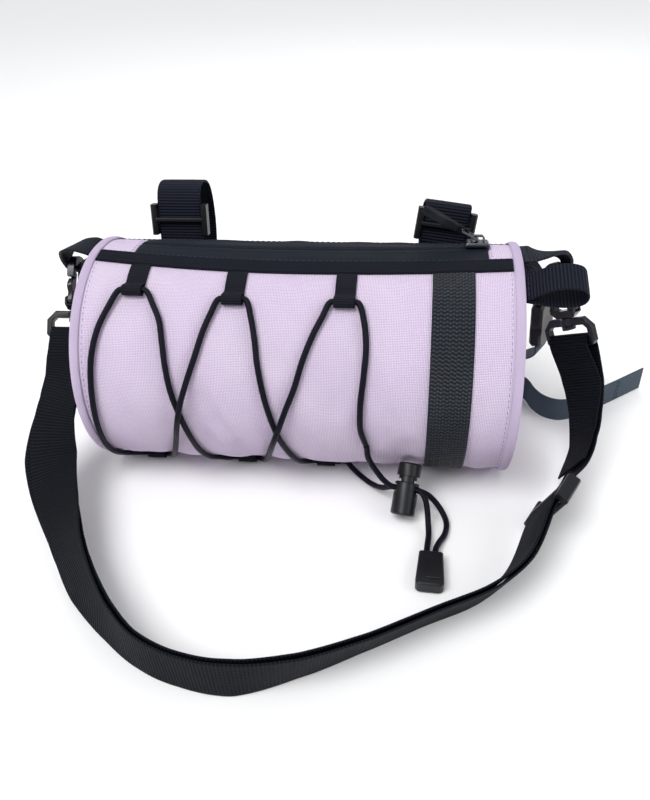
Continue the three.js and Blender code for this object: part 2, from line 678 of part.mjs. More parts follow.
function hookGeometry() {
  const base = slab([
    [-4.5, HOOK_FOOT], [4.5, HOOK_FOOT], [half + 0.2, HOOK_FOOT + 2.5], [half + 0.4, HOOK_FOOT + 6.4],
    [half - 1, HOOK_FOOT + 7.4], [inside - 0.8, HOOK_FOOT + 7.4], [inside - 1.2, HOOK_FOOT + 4.2],
    [1 - inside, HOOK_FOOT + 4.2], [-half, HOOK_FOOT + 6], [-half, HOOK_FOOT + 3],
  ], HOOK_BASE_THICKNESS, 0.6);
  const bow = slab([
    [-half, HOOK_FOOT + 3], [-inside, HOOK_FOOT + 3], ...arc([0, bightHeight], inside, 180, 0, 8),
    [inside, noseLow], [half - 1.4, noseLow - 0.4], [half, noseLow],
    ...arc([0, bightHeight], half, 0, 180, 9),
  ], HOOK_THICKNESS, 0.5);
  const stem = joined([
    rod(SWIVEL_RADIUS, collarLow - GAP - HEAD_HEIGHT, HOOK_FOOT + 1),
    rod(SWIVEL_RADIUS + 1.6, collarLow - GAP - HEAD_HEIGHT, collarLow - GAP),
  ]);
  const [px, py] = gatePivot;
  const slotWidth = 8;
  const slot = new THREE.BoxGeometry(slotWidth, 12, GATE_THICKNESS + 2 * GAP)
    .translate(px - GATE_EYE - GAP + slotWidth / 2, py - GATE_EYE - GAP + 6, 0);
  const pinHole = rod(GATE_PIN + GAP, -HOOK_BASE_THICKNESS, HOOK_BASE_THICKNESS).rotateX(Math.PI / 2);
  return cut(joined([base, bow, stem]), [slot, pinHole.translate(px, py, 0)]);
}

function gateGeometry() {
  const [px, py] = gatePivot;
  const top = noseLow + 2.2;
  const leaf = slab([
    ...arc([px, py], GATE_EYE, 160, 380, 10),
    [half - 0.4, py + 4], [half + 1.2, py + 7], [half + 1, py + 9], [half - 0.8, noseLow - 1.2],
    [inside - GAP, noseLow - 0.6], [inside - GAP, top], [inside - 2.3, top],
  ], GATE_THICKNESS, 0.3);
  const pin = rod(GATE_PIN, -HOOK_BASE_THICKNESS / 2, HOOK_BASE_THICKNESS / 2).rotateX(Math.PI / 2);
  return joined([leaf, pin.translate(px, py, 0)]);
}

const HOOKS = {
  left: {
    ring: vector(-127, -10, 71),
    up: vector(0, 0.575, 0.819),
    gateSide: vector(0, -0.819, 0.575),
    bar: vector(1, 0, 0),
  },
  right: {
    ring: vector(142, 6, 66),
    up: vector(-0.298, 0.397, 0.868),
    gateSide: vector(0.6, -0.63, 0.49),
    bar: vector(0.583, -0.646, 0.495),
  },
};

for (const [name, { ring, up, gateSide, bar }] of Object.entries(HOOKS)) {
  add(`hook_ring_${name}`, ringGeometry().applyMatrix4(frameAt(ring, bar, up)), 'plastic');
  add(`hook_body_${name}`, hookGeometry().applyMatrix4(frameAt(ring, gateSide, up)), 'plastic');
  add(`hook_gate_${name}`, gateGeometry().applyMatrix4(frameAt(ring, gateSide, up)), 'plastic');
}

// End loops: webbing sewn in at the rims, gathered where the hooks hang in them
const GATHERED = { width: 7, thickness: 2.2 };
const ROOT_FACE = HALF_LENGTH - GAP;
const hookCrown = inside - GATHERED.thickness * STRAP_THICKNESS / 2 - 2.4;
const crownHeight = bightHeight + hookCrown;

const END_LOOPS = {
  left: [
    { x: -ROOT_FACE, y: 6, z: 115.5, gathered: 0 }, { x: -114.7, y: 6, z: 117.2, gathered: 0 },
    { x: -120.7, y: 6.5, z: 117, gathered: 0.1 }, { x: -127.1, y: 7.5, z: 114.1, gathered: 0.3 },
    { x: -131.1, y: 9.4, z: 108.2, gathered: 0.7 },
    { past: 3.2, gathered: 1 }, { past: 0, gathered: 1 }, { past: -3.2, gathered: 1 },
    { x: -119.1, y: 8.9, z: 105, gathered: 0.6 }, { x: -115.1, y: 7, z: 109.8, gathered: 0.2 },
    { x: -112.1, y: 6, z: 112.8, gathered: 0 }, { x: -ROOT_FACE, y: 6, z: 113.8, gathered: 0 },
  ],
  right: [
    { x: ROOT_FACE, y: 6, z: 115.5, gathered: 0 }, { x: 114, y: 6.4, z: 115.6, gathered: 0 },
    { x: 120, y: 10.4, z: 114, gathered: 0.3 }, { x: 127, y: 17.4, z: 111.4, gathered: 0.7 },
    { x: 133.6, y: 23.6, z: 107.6, gathered: 1 }, { x: 136.6, y: 25.4, z: 102, gathered: 1 },
    { past: 3.2, gathered: 1 }, { past: 0, gathered: 1 }, { past: -3.2, gathered: 1 },
    { x: 122.4, y: 12.8, z: 101.6, gathered: 0.8 }, { x: 116.2, y: 8.4, z: 107.6, gathered: 0.3 },
    { x: 112.4, y: 6.4, z: 112, gathered: 0 }, { x: ROOT_FACE, y: 6, z: 113.8, gathered: 0 },
  ],
};

for (const [name, side] of [['left', -1], ['right', 1]]) {
  const { ring, up, gateSide } = HOOKS[name];
  const tip = ring.clone().addScaledVector(up, crownHeight);
  const rootAcross = vector(0, 0.995, -0.1);
  const tipAcross = gateSide.clone().negate();
  const through = tipAcross.clone().cross(up).multiplyScalar(side);
  const stations = END_LOOPS[name].map(({ x, y, z, past, gathered }) => ({
    at: past === undefined ? vector(x, y, z) : tip.clone().addScaledVector(through, past),
    across: rootAcross.clone().lerp(tipAcross, gathered),
    width: THREE.MathUtils.lerp(END_LOOP_WIDTH, GATHERED.width, gathered),
    gather: THREE.MathUtils.lerp(1, GATHERED.thickness, gathered),
  }));
  add(`end_loop_${name}`, band(stations, STRAP_THICKNESS, 2), 'webbing');
}

// Grab loop at the right rim
const GRAB_ANGLE = 67;
const grabOut = vector(0, -Math.cos(radians(GRAB_ANGLE)), Math.sin(radians(GRAB_ANGLE)));
const grabAcross = vector(0, Math.sin(radians(GRAB_ANGLE)), Math.cos(radians(GRAB_ANGLE)));
const GRAB_LOOP = [
  { out: 0, lift: 0.8 }, { out: 0.16, lift: 4 }, { out: 0.44, lift: 8.8 }, { out: 0.74, lift: 9.6 },
  { out: 0.93, lift: 7.4 }, { out: 1, lift: 3 }, { out: 0.95, lift: -1.2 }, { out: 0.76, lift: -3.4 },
  { out: 0.4, lift: -3.2 }, { out: 0, lift: -0.8 },
];
add('grab_loop_right', band(GRAB_LOOP.map(({ out, lift }) => ({
  at: vector(ROOT_FACE + out * GRAB_REACH, 0, AXIS_HEIGHT).addScaledVector(grabOut, 56.4 + lift),
  across: grabAcross,
  width: GRAB_WIDTH,
})), STRAP_THICKNESS), 'webbing');

// Strap slider: two end bars in front of the webbing and a middle bar behind it, with rails at its edges
const SLIDER_CLEAR = STRAP_THICKNESS / 2 + GAP;

function sliderGeometry(webbing, play) {
  const railPlace = webbing / 2 + play + SLIDER_RAIL / 2;
  const barLength = 2 * railPlace;
  const barHeight = SLIDER_RAIL - SLIDER_CLEAR;
  const barLevel = SLIDER_CLEAR + barHeight / 2;
  const endPlace = (SLIDER_LENGTH - SLIDER_BAR) / 2;
  const bars = [[endPlace, barLevel], [-endPlace, barLevel], [0, -barLevel]].map(([along, level]) => (
    block([barLength, SLIDER_BAR, barHeight], [0, along, level], 0.5)
  ));
  const rails = [-railPlace, railPlace].map((place) => (
    block([SLIDER_LENGTH, SLIDER_RAIL, 2 * SLIDER_RAIL], [0, 0, 0], 0.9)
      .rotateZ(Math.PI / 2)
      .translate(place, 0, 0)
  ));
  return joined([...bars, ...rails]);
}

// Shoulder strap, from the left ring round the front to the right one. Stations hold a place on the
// outer layer, its lean (90 stands on edge, less leans back, 180 lies flat), how far the return layer
// lies behind it and how far the two layers have slipped apart across the width.
const UP = vector(0, 0, 1);

const STRAP_STATIONS = [
  { x: -126.2, y: -24, z: 65.4, lean: 180, apart: 3.4, slip: 0 },
  { x: -125.8, y: -35.4, z: 59, lean: 178, apart: 2.9, slip: 0 },
  { x: -130.4, y: -42, z: 48.4, lean: 177, apart: 2.9, slip: -1.5 },
  { x: -131.8, y: -53, z: 36.6, lean: 176, apart: 2.9, slip: -3 },
  { x: -130.6, y: -62.4, z: 28, lean: 173, apart: 2.9, slip: -4.4 },
  { x: -125.6, y: -75, z: 21.8, lean: 160, apart: 3, slip: -4 },
  { x: -113.4, y: -96.3, z: 17.4, lean: 142, apart: 2.9, slip: -3 },
  { x: -102.3, y: -114.4, z: 15, lean: 126, apart: 2.9, slip: -2 },
  { x: -90.4, y: -130.8, z: 14, lean: 118, apart: 2.6, slip: -1 },
  { x: -69.8, y: -151.6, z: 13.2, lean: 99, apart: 2.4, slip: 0 },
  { x: -52, y: -164.8, z: 13, lean: 90, apart: 2.1, slip: 0 },
  { x: -33.7, y: -171.8, z: 13, lean: 86, apart: 2, slip: 0 },
  { x: -10.4, y: -174.2, z: 13, lean: 85, apart: 2.1, slip: 0 },
  { x: 16.4, y: -166.3, z: 12.6, lean: 72, apart: 2.3, slip: 0 },
  { x: 42.8, y: -152.7, z: 12, lean: 66, apart: 2.2, slip: 0 },
  { x: 69.5, y: -136.8, z: 12, lean: 65, apart: 2.1, slip: 0 },
  { x: 95, y: -121.6, z: 12, lean: 65, apart: 2, slip: 0 },
  { x: 111, y: -104.6, z: 12.8, lean: 65, apart: 2, slip: 0 },
];
const STRAP_SLIDER = { x: 129, y: -66, z: 16.8, heading: 61, lean: 65 };
const STRAP_RISE = [
  { x: 143.6, y: -42.6, z: 17.4, lean: 63 },
  { x: 150.8, y: -24.6, z: 22.4, lean: 67 },
  { x: 151.8, y: -13, z: 33.4, lean: 71 },
  { x: 149.4, y: -4.6, z: 48, lean: 75 },
];
const RETURN_CLEAR = SLIDER_CLEAR + (SLIDER_RAIL - SLIDER_CLEAR) / 2;
const RING_WRAP = RING_WIRE / 2 + 4 * GAP + STRAP_THICKNESS / 2;
const STUB_LENGTH = 4;

function strapAxes(tangent, lean) {
  const up = UP.clone().addScaledVector(tangent, -UP.dot(tangent)).normalize();
  const side = tangent.clone().cross(up);
  const turn = radians(lean);
  const across = up.clone().multiplyScalar(Math.sin(turn)).addScaledVector(side, Math.cos(turn));
  return { across, normal: tangent.clone().cross(across) };
}

const sliderHeading = radians(STRAP_SLIDER.heading);
const sliderAlong = vector(Math.cos(sliderHeading), Math.sin(sliderHeading), 0.04).normalize();
const sliderMiddle = vector(STRAP_SLIDER.x, STRAP_SLIDER.y, STRAP_SLIDER.z);
const sliderAxes = strapAxes(sliderAlong, STRAP_SLIDER.lean);

const straight = [-0.65, -0.35, -0.09, 0.35, 0.65].map((share) => ({
  at: sliderMiddle.clone().addScaledVector(sliderAlong, share * SLIDER_LENGTH),
  lean: STRAP_SLIDER.lean, apart: RETURN_CLEAR, slip: 0,
}));
const RETURN_COUNT = STRAP_STATIONS.length + 3;
const strapRows = [...STRAP_STATIONS, ...straight, ...STRAP_RISE]
  .map((row) => ({ ...row, at: row.at ?? vector(row.x, row.y, row.z) }));

// Turn of the strap round a ring's bar, from its near side over the far one
function wrap({ ring, bar }, away, near) {
  return [0, 45, 90, 135, 180].map((angle) => ({
    at: ring.clone()
      .addScaledVector(near, RING_WRAP * Math.cos(radians(angle)))
      .addScaledVector(away, RING_WRAP * Math.sin(radians(angle))),
    across: bar,
    width: STRAP_WIDTH,
  }));
}

const outerLayer = strapRows.map((row, i) => {
  const before = strapRows[i - 1]?.at ?? HOOKS.left.ring;
  const after = strapRows[i + 1]?.at ?? HOOKS.right.ring;
  const tangent = after.clone().sub(before).normalize();
  const { across, normal } = strapAxes(tangent, row.lean);
  const at = row.at.clone().addScaledVector(across, -(row.slip ?? 0) / 2);
  return { ...row, at, tangent, across, normal, width: STRAP_WIDTH };
});
const returnLayer = outerLayer.slice(0, RETURN_COUNT).map(({ at, across, normal, apart, slip, width }) => ({
  at: at.clone().addScaledVector(normal, -apart).addScaledVector(across, slip), across, width,
}));

const ringSide = (row, { bar }) => {
  const axis = bar.clone().multiplyScalar(Math.sign(bar.dot(row.across)));
  return { bar: axis, near: row.tangent.clone().cross(axis).normalize() };
};
const leftEnd = ringSide(outerLayer[0], HOOKS.left);
const rightEnd = ringSide(outerLayer.at(-1), HOOKS.right);
const leftWrap = wrap({ ...HOOKS.left, bar: leftEnd.bar }, outerLayer[0].tangent.clone().negate(), leftEnd.near);
const rightWrap = wrap({ ...HOOKS.right, bar: rightEnd.bar }, outerLayer.at(-1).tangent, rightEnd.near);
const stub = outerLayer.slice(-STUB_LENGTH).reverse().map(({ at, across, normal, width }) => ({
  at: at.clone().addScaledVector(normal, -STRAP_THICKNESS - 4 * GAP), across, width,
}));
add('shoulder_strap', band([
  ...returnLayer.toReversed(), ...leftWrap.toReversed(), ...outerLayer, ...rightWrap, ...stub,
], STRAP_THICKNESS, 5), 'webbing');

add('strap_slider', sliderGeometry(STRAP_WIDTH, GAP).applyMatrix4(
  frameAt(sliderMiddle, sliderAxes.across.clone().negate(), sliderAlong),
), 'plastic');

// Handlebar straps: loops that stand up behind the barrel, sewn to the rear panel at both ends.
// Back and up are measured from the barrel's axis and from the foot of the front leg.
const LOOP_FOOT = 100;
const LOOP_CREST_FOOT = 22;
const LOOP_FRONT = [
  { back: 46.4, up: 4 }, { back: 47.4, up: 9 }, { back: 48.7, up: 15 }, { back: 50, up: 21 },
];
const LOOP_TOP = [
  { back: 51.6, up: 27 }, { back: 54.6, up: 31.6 }, { back: 59, up: 33.6 }, { back: 65, up: 33 },
  { back: 71, up: 29.8 }, { back: 75.4, up: 23 }, { back: 77.4, up: 12 }, { back: 76.6, up: 0 },
  { back: 72, up: -13 }, { back: 66, up: -24 },
];
const LOOP_SINK = { from: 52, length: 22 };
const LOOP_SEWN = { front: [152, 148, 144, 140], rear: [171, 175, 179, 183] };
const LOOP_SLIDER = { from: LOOP_FRONT[0], to: LOOP_FRONT[3] };
const SEWN_OFFSET = 1.5 * GAP + STRAP_THICKNESS / 2;

const HANDLEBAR_STRAPS = [
  { name: 'left', centre: -77, crest: 0.84, sag: 0, tilt: 0, sliderShare: 0.62 },
  { name: 'right', centre: 71.5, crest: 0.24, sag: 9, tilt: -8, sliderShare: 0.5 },
];
for (const { name, centre, crest, sag, tilt, sliderShare } of HANDLEBAR_STRAPS) {
  const pressed = (up) => (up > LOOP_CREST_FOOT ? THREE.MathUtils.lerp(LOOP_CREST_FOOT, up, crest) : up);
  const sunk = (back) => sag * THREE.MathUtils.clamp((back - LOOP_SINK.from) / LOOP_SINK.length, 0, 1);
  const place = ({ back, up }) => vector(0, back, LOOP_FOOT + pressed(up) - sunk(back));
  const sewn = (angle) => skin(0, angle, SEWN_OFFSET);
  const line = [
    ...LOOP_SEWN.front.map(sewn), ...[...LOOP_FRONT, ...LOOP_TOP].map(place), ...LOOP_SEWN.rear.map(sewn),
  ];
  const lean = (point) => radians(tilt) * THREE.MathUtils.smoothstep(point.z, LOOP_FOOT - 2, LOOP_FOOT + 5);
  const leaned = (point) => {
    const turn = lean(point);
    const height = point.z - LOOP_FOOT;
    return {
      at: vector(centre - height * Math.sin(turn), point.y, LOOP_FOOT + height * Math.cos(turn)),
      across: vector(Math.cos(turn), 0, Math.sin(turn)),
      width: STRAP_WIDTH,
    };
  };
  add(`handlebar_strap_${name}`, band(line.map(leaned), STRAP_THICKNESS, 2), 'webbing');
  const low = leaned(place(LOOP_SLIDER.from));
  const high = leaned(place(LOOP_SLIDER.to));
  add(`handlebar_slider_${name}`, sliderGeometry(STRAP_WIDTH, GAP).applyMatrix4(
    frameAt(low.at.clone().lerp(high.at, sliderShare), high.across.clone().negate(), high.at.clone().sub(low.at)),
  ), 'plastic');
}

// Stabiliser strap at the right: a short anchor, a fastened buckle and a long free tail
const BUCKLE = { middle: vector(130.4, 36.2, 61), width: 18, length: 28, thickness: 7, slot: 2.4 };
const buckleUp = vector(-0.06, 0.03, 1).normalize();
const buckleAcross = vector(0.5, 0.86, 0.01);
const buckleFrame = frameAt(BUCKLE.middle, buckleAcross, buckleUp);
const BUCKLE_INSET = 5;
const buckleHalf = BUCKLE.length / 2;
const buckleSlots = [-1, 1].map((end) => (
  new THREE.BoxGeometry(STABILISER_WIDTH + 2 * GAP, 2 * BUCKLE_INSET, BUCKLE.slot)
    .translate(0, end * buckleHalf, 0)
));
const buckleGrips = [-1, 1].map((side) => (
  rod(BUCKLE_INSET, -BUCKLE.thickness, BUCKLE.thickness, 16).rotateX(Math.PI / 2)
    .translate(side * (BUCKLE.width / 2 + BUCKLE_INSET - 1.3), -2, 0)
));
const buckleOutline = slab([
  [-BUCKLE.width / 2, 3 - buckleHalf], [3 - BUCKLE.width / 2, -buckleHalf], [BUCKLE.width / 2 - 3, -buckleHalf],
  [BUCKLE.width / 2, 3 - buckleHalf], [BUCKLE.width / 2, buckleHalf - 3], [BUCKLE.width / 2 - 3, buckleHalf],
  [3 - BUCKLE.width / 2, buckleHalf], [-BUCKLE.width / 2, buckleHalf - 3],
], BUCKLE.thickness, 1.2);
add('stabiliser_buckle', cut(buckleOutline, [...buckleSlots, ...buckleGrips]).applyMatrix4(buckleFrame), 'plastic');

const buckleEnd = (end) => BUCKLE.middle.clone()
  .addScaledVector(buckleUp, end * (buckleHalf - BUCKLE_INSET + GAP));
const buckleOut = (end, more) => buckleEnd(end).addScaledVector(buckleUp, end * more);
const rimAcross = vector(0, -0.647, -0.763);

add('stabiliser_anchor', band([
  { at: vector(ROOT_FACE, 43.4, 95.6), across: rimAcross, width: STABILISER_WIDTH },
  { at: vector(115.6, 42.8, 94), across: vector(-0.1, -0.7, -0.7), width: STABILISER_WIDTH },
  { at: vector(122.6, 40.6, 89.4), across: vector(-0.3, -0.8, -0.4), width: STABILISER_WIDTH },
  { at: buckleOut(1, 9), across: buckleAcross.clone().negate(), width: STABILISER_WIDTH },
  { at: buckleEnd(1), across: buckleAcross.clone().negate(), width: STABILISER_WIDTH },
], STRAP_THICKNESS), 'webbing');

add('stabiliser_tail', band([
  { at: buckleEnd(-1), across: buckleAcross },
  { at: buckleOut(-1, 9), across: buckleAcross },
  { at: vector(122.6, 42.6, 33), across: vector(0.6, 0.78, 0.1) },
  { at: vector(117.6, 49.6, 21), across: vector(0.66, 0.6, 0.4) },
  { at: vector(117.4, 54, 12.4), across: vector(0.4, 0.4, 0.8) },
  { at: vector(122.4, 52, 8.6), across: vector(0, 0.1, 1) },
  { at: vector(129, 43.4, 8.2), across: UP },
  { at: vector(132.4, 33.6, 8.2), across: UP },
  { at: vector(137.4, 26.6, 8.2), across: UP },
  { at: vector(145, 23.4, 8.2), across: UP },
  { at: vector(154, 25.6, 8.2), across: UP },
  { at: vector(174, 39.5, 8.2), across: UP },
  { at: vector(201, 60.7, 8.2), across: UP },
].map((station) => ({ ...station, width: STABILISER_WIDTH })), STRAP_THICKNESS, 4), 'slate');

// Zip slider with its loop and pull, resting askew above the right end of the zip
const SLIDER_PLACE = 88;
const ZIP_SLIDER = { length: 12, width: 8.6, height: 2.6, arch: 3.2, archLength: 7 };
const PULL_REST = 28;
const LOOP_WIRE = 1.3;
const LOOP_WIDTH = 6.4;
const LOOP_LENGTH = 10;
const PULL = { length: 24, neck: 6.6, foot: 11.4, thickness: 2 };
const zipAngle = (SEAMS.zipFront(SLIDER_PLACE) + SEAMS.zipRear(SLIDER_PLACE)) / 2;
const zipOut = skin(0, zipAngle).sub(vector(0, 0, AXIS_HEIGHT)).normalize();
const zipOrigin = skin(SLIDER_PLACE, zipAngle, 2 * GAP);
const zipAcross = zipOut.clone().cross(vector(1, 0, 0));
const zipFrame = frameAt(zipOrigin, vector(1, 0, 0), zipOut);
const archTop = ZIP_SLIDER.height + ZIP_SLIDER.arch;
const archBar = 1;

const zipBody = joined([
  slab([
    [-ZIP_SLIDER.length / 2, 0], [ZIP_SLIDER.length / 2, 0], [ZIP_SLIDER.length / 2, ZIP_SLIDER.height - 0.8],
    [ZIP_SLIDER.length / 2 - 1, ZIP_SLIDER.height], [1 - ZIP_SLIDER.length / 2, ZIP_SLIDER.height],
    [-ZIP_SLIDER.length / 2, ZIP_SLIDER.height - 0.8],
  ], ZIP_SLIDER.width, 0.4),
  slab([
    [-ZIP_SLIDER.archLength / 2, ZIP_SLIDER.height - 0.5], [ZIP_SLIDER.archLength / 2, ZIP_SLIDER.height - 0.5],
    [ZIP_SLIDER.archLength / 2, archTop - 1.2], [ZIP_SLIDER.archLength / 2 - 1.2, archTop],
    [1.2 - ZIP_SLIDER.archLength / 2, archTop], [-ZIP_SLIDER.archLength / 2, archTop - 1.2],
  ], 2.4),
]);
const archHole = new THREE.BoxGeometry(ZIP_SLIDER.archLength - 2 * archBar, ZIP_SLIDER.arch - archBar, ZIP_SLIDER.width)
  .translate(0, ZIP_SLIDER.height + (ZIP_SLIDER.arch - archBar) / 2, 0);
add('zip_slider', cut(zipBody, [archHole]).applyMatrix4(zipFrame), 'zipMetal');

// The loop and the pull share a frame on the loop's bar: X across the zip, Y towards the free end
const pullTurn = radians(PULL_REST);
const pullOrigin = zipOrigin.clone().addScaledVector(zipOut, ZIP_SLIDER.height + (ZIP_SLIDER.arch - archBar) / 2);
const pullAlong = vector(-Math.cos(pullTurn), 0, 0).addScaledVector(zipOut, Math.sin(pullTurn));
const pullFrame = frameAt(pullOrigin, zipAcross, pullAlong);
const wire = LOOP_WIRE / 2;
const loopOuter = slab([
  [-LOOP_WIDTH / 2, -wire], [LOOP_WIDTH / 2, -wire], [LOOP_WIDTH / 2, LOOP_LENGTH - wire],
  [-LOOP_WIDTH / 2, LOOP_LENGTH - wire],
], LOOP_WIRE, 0.3);
const loopWindow = new THREE.BoxGeometry(LOOP_WIDTH - 2 * LOOP_WIRE, LOOP_LENGTH - 2 * LOOP_WIRE, 4 * LOOP_WIRE)
  .translate(0, LOOP_LENGTH / 2 - wire, 0);
add('zip_pull_loop', cut(loopOuter, [loopWindow]).applyMatrix4(pullFrame), 'zipMetal');

// Webbing pull: folded through the loop, with a flared end
const pullStart = LOOP_LENGTH - 2 * wire - PULL.thickness - 1;
const FOLD_SLOT = LOOP_WIRE + 2 * GAP;
const foldBore = new THREE.BoxGeometry(2 * LOOP_WIDTH, FOLD_SLOT, FOLD_SLOT)
  .translate(0, LOOP_LENGTH - LOOP_WIRE, 0);
const pullBody = joined([
  slab([
    [-1.5, pullStart], [1.5, pullStart], [1.5, pullStart + 7], [-1.5, pullStart + 7],
  ], FOLD_SLOT + 2, 0.5),
  slab([
    [-PULL.neck / 2, pullStart + 6], [PULL.neck / 2, pullStart + 6], [PULL.neck / 2, pullStart + 10],
    [PULL.foot / 2, pullStart + PULL.length - 4],
    ...arc([0, pullStart + PULL.length - 4], PULL.foot / 2, 20, 160, 6),
    [-PULL.foot / 2, pullStart + PULL.length - 4], [-PULL.neck / 2, pullStart + 10],
  ], FOLD_SLOT + 2, 0.5),
]);
add('zip_pull_tab', cut(pullBody, [foldBore]).applyMatrix4(pullFrame), 'webbing');

export default bag;
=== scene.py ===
"""Lilac barrel bag for a handlebar: canvas shell, webbing, laced cord and moulded hardware."""

import functools
import itertools
import logging
import math
from dataclasses import dataclass, field
from enum import Enum
from typing import Any, Callable, Optional, Sequence

import bpy
import numpy as np
from mathutils import Matrix, Vector


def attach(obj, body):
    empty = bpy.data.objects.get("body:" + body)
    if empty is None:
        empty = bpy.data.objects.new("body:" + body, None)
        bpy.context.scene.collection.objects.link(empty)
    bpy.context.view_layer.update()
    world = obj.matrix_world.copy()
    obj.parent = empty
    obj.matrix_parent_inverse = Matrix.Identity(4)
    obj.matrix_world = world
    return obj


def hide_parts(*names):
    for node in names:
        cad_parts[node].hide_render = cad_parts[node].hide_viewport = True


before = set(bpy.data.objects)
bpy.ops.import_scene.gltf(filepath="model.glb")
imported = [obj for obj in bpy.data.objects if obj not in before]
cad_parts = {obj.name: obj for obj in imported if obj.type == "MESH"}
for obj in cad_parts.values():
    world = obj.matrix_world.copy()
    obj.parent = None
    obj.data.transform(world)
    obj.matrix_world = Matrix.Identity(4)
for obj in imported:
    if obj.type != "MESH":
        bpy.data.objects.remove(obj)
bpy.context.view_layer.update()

LOG = logging.getLogger("barrel_bag")
Array = np.ndarray
Relief = Callable[[Array, Array], Array]
CLOTH = "cloth"
BODY = "bag"


class Side(Enum):
    """The two ends of the barrel."""

    LEFT = -1
    RIGHT = 1

    @property
    def word(self) -> str:
        """Plain name of the end, as the frame's nodes have it."""
        return self.name.lower()


# Sizes shared by the pieces that lie on the barrel, in metres and degrees


@dataclass(frozen=True)
class Barrel:
    """The bag's round body, with its axis along X and a base pressed slightly flat."""

    length: float = 0.220
    radius: float = 0.059
    base_sag: float = 0.0015
    axis_height: float = 0.059
    gap: float = 0.0003
    wall: float = 0.0026
    end_wall: float = 0.002
    end_crown: float = 0.0014
    piping_width: float = 0.0046
    piping_height: float = 0.0012
    strip_thickness: float = 0.0012
    strip_width: float = 0.0096
    base_strip_width: float = 0.012
    strip_angle: float = 71.0
    tape_width: float = 0.0126
    tape_thickness: float = 0.001
    coil_width: float = 0.003
    zip_span: tuple[float, float] = (-0.086, 0.093)
    strip_bow: tuple[float, float] = (8.0, 5.0)
    zip_bow: tuple[float, float] = (9.0, 9.0)
    rear_bow: tuple[float, float] = (4.0, 3.0)
    webbing_span: tuple[float, float] = (0.066, 0.086)

    @property
    def half(self) -> float:
        """Half of the whole length."""
        return self.length / 2

    @property
    def shell_half(self) -> float:
        """Half of the length of the round wall."""
        return self.half - self.end_wall - self.end_crown

    @property
    def strip_half(self) -> float:
        """Half of the length of the strips between the pipings."""
        return self.half - self.end_crown - self.piping_width

    @property
    def end_face(self) -> float:
        """Distance from the middle to the outer rim of an end panel."""
        return self.shell_half + self.end_wall

    def turn(self, length: float) -> float:
        """Angle in degrees that a length covers round the barrel."""
        return math.degrees(length / self.radius)

    def point(self, x: Array, angle: Array, offset: Array | float = 0.0) -> Array:
        """Points on the barrel's skin.

        Args:
            x: Place along the barrel.
            angle: Degrees from the front's middle height upwards.
            offset: Height over the skin.

        Returns:
            The points, with one more axis than the inputs.
        """
        turn = np.radians(angle)
        reach = self.radius + offset
        drop = -np.sin(turn)
        flat = self.radius - self.base_sag + offset
        reach = np.where(drop * reach > flat, flat / np.where(drop > 0.1, drop, 1.0), reach)
        y = -reach * np.cos(turn)
        z = self.axis_height + reach * np.sin(turn)
        return np.stack(np.broadcast_arrays(x, y, z), axis=-1)

    def normal(self, angle: Array) -> Array:
        """Outward directions at those angles."""
        turn = np.radians(angle)
        return np.stack([np.zeros_like(turn), -np.cos(turn), np.sin(turn)], axis=-1)

    def _seam(self, angle: float, bow: tuple[float, float], x: Array) -> Array:
        """Angle of a seam that climbs by its bow towards the barrel's ends."""
        share = np.asarray(x, float) / self.half
        return angle + np.where(share < 0, bow[0], bow[1]) * share * share

    def base_front(self, x: Array) -> Array:
        """Front edge of the strip under the bag."""
        return self._seam(-90 + self.turn(self.base_strip_width / 2), (0, 0), x)

    def base_rear(self, x: Array) -> Array:
        """Rear edge of the strip under the bag."""
        return self._seam(270 - self.turn(self.base_strip_width / 2), (0, 0), x)

    def strip_low(self, x: Array) -> Array:
        """Lower edge of the strip along the top of the front panel."""
        return self._seam(self.strip_angle, self.strip_bow, x)

    def strip_top(self, x: Array) -> Array:
        """Upper edge of that strip, where the zip's tape begins."""
        return self._seam(self.strip_angle + self.turn(self.strip_width), self.strip_bow, x)

    def zip_front(self, x: Array) -> Array:
        """Front edge of the zip's coil."""
        angle = self.strip_angle + self.turn(self.strip_width + self.tape_width)
        return self._seam(angle, self.zip_bow, x)

    def zip_rear(self, x: Array) -> Array:
        """Rear edge of the zip's coil."""
        width = self.strip_width + self.tape_width + self.coil_width
        return self._seam(self.strip_angle + self.turn(width), self.zip_bow, x)

    def rear_edge(self, x: Array) -> Array:
        """Upper edge of the rear panel."""
        width = self.strip_width + 2 * self.tape_width + self.coil_width
        return self._seam(self.strip_angle + self.turn(width), self.rear_bow, x)


BARREL = Barrel()
HAIR = BARREL.turn(BARREL.gap)


# Curves and meshes


def spline(points: Array, step: float) -> Array:
    """Centripetal curve through points, evenly spaced.

    Args:
        points: Rows whose first three columns are places; further columns follow them.
        step: Distance between the samples.

    Returns:
        Rows with the same columns.
    """
    ends = np.vstack([2 * points[0] - points[1], points, 2 * points[-1] - points[-2]])
    chord = np.linalg.norm(np.diff(ends[:, :3], axis=0), axis=1)
    gaps = np.sqrt(np.maximum(chord, 1e-7))[:, None]
    before, here, after, beyond = ends[:-3], ends[1:-2], ends[2:-1], ends[3:]
    first, middle, last = gaps[:-2], gaps[1:-1], gaps[2:]
    leave = (here - before) / first - (after - before) / (first + middle) + (after - here) / middle
    arrive = (after - here) / middle - (beyond - here) / (middle + last) + (beyond - after) / last
    rows = []
    for share in np.linspace(0, 1, 16, endpoint=False):
        square, cube = share**2, share**3
        rows.append(
            (2 * cube - 3 * square + 1) * here
            + (cube - 2 * square + share) * leave * middle
            + (3 * square - 2 * cube) * after
            + (cube - square) * arrive * middle
        )
    dense = np.vstack([np.stack(rows, axis=1).reshape(-1, points.shape[1]), points[-1]])
    return respaced(dense, step)


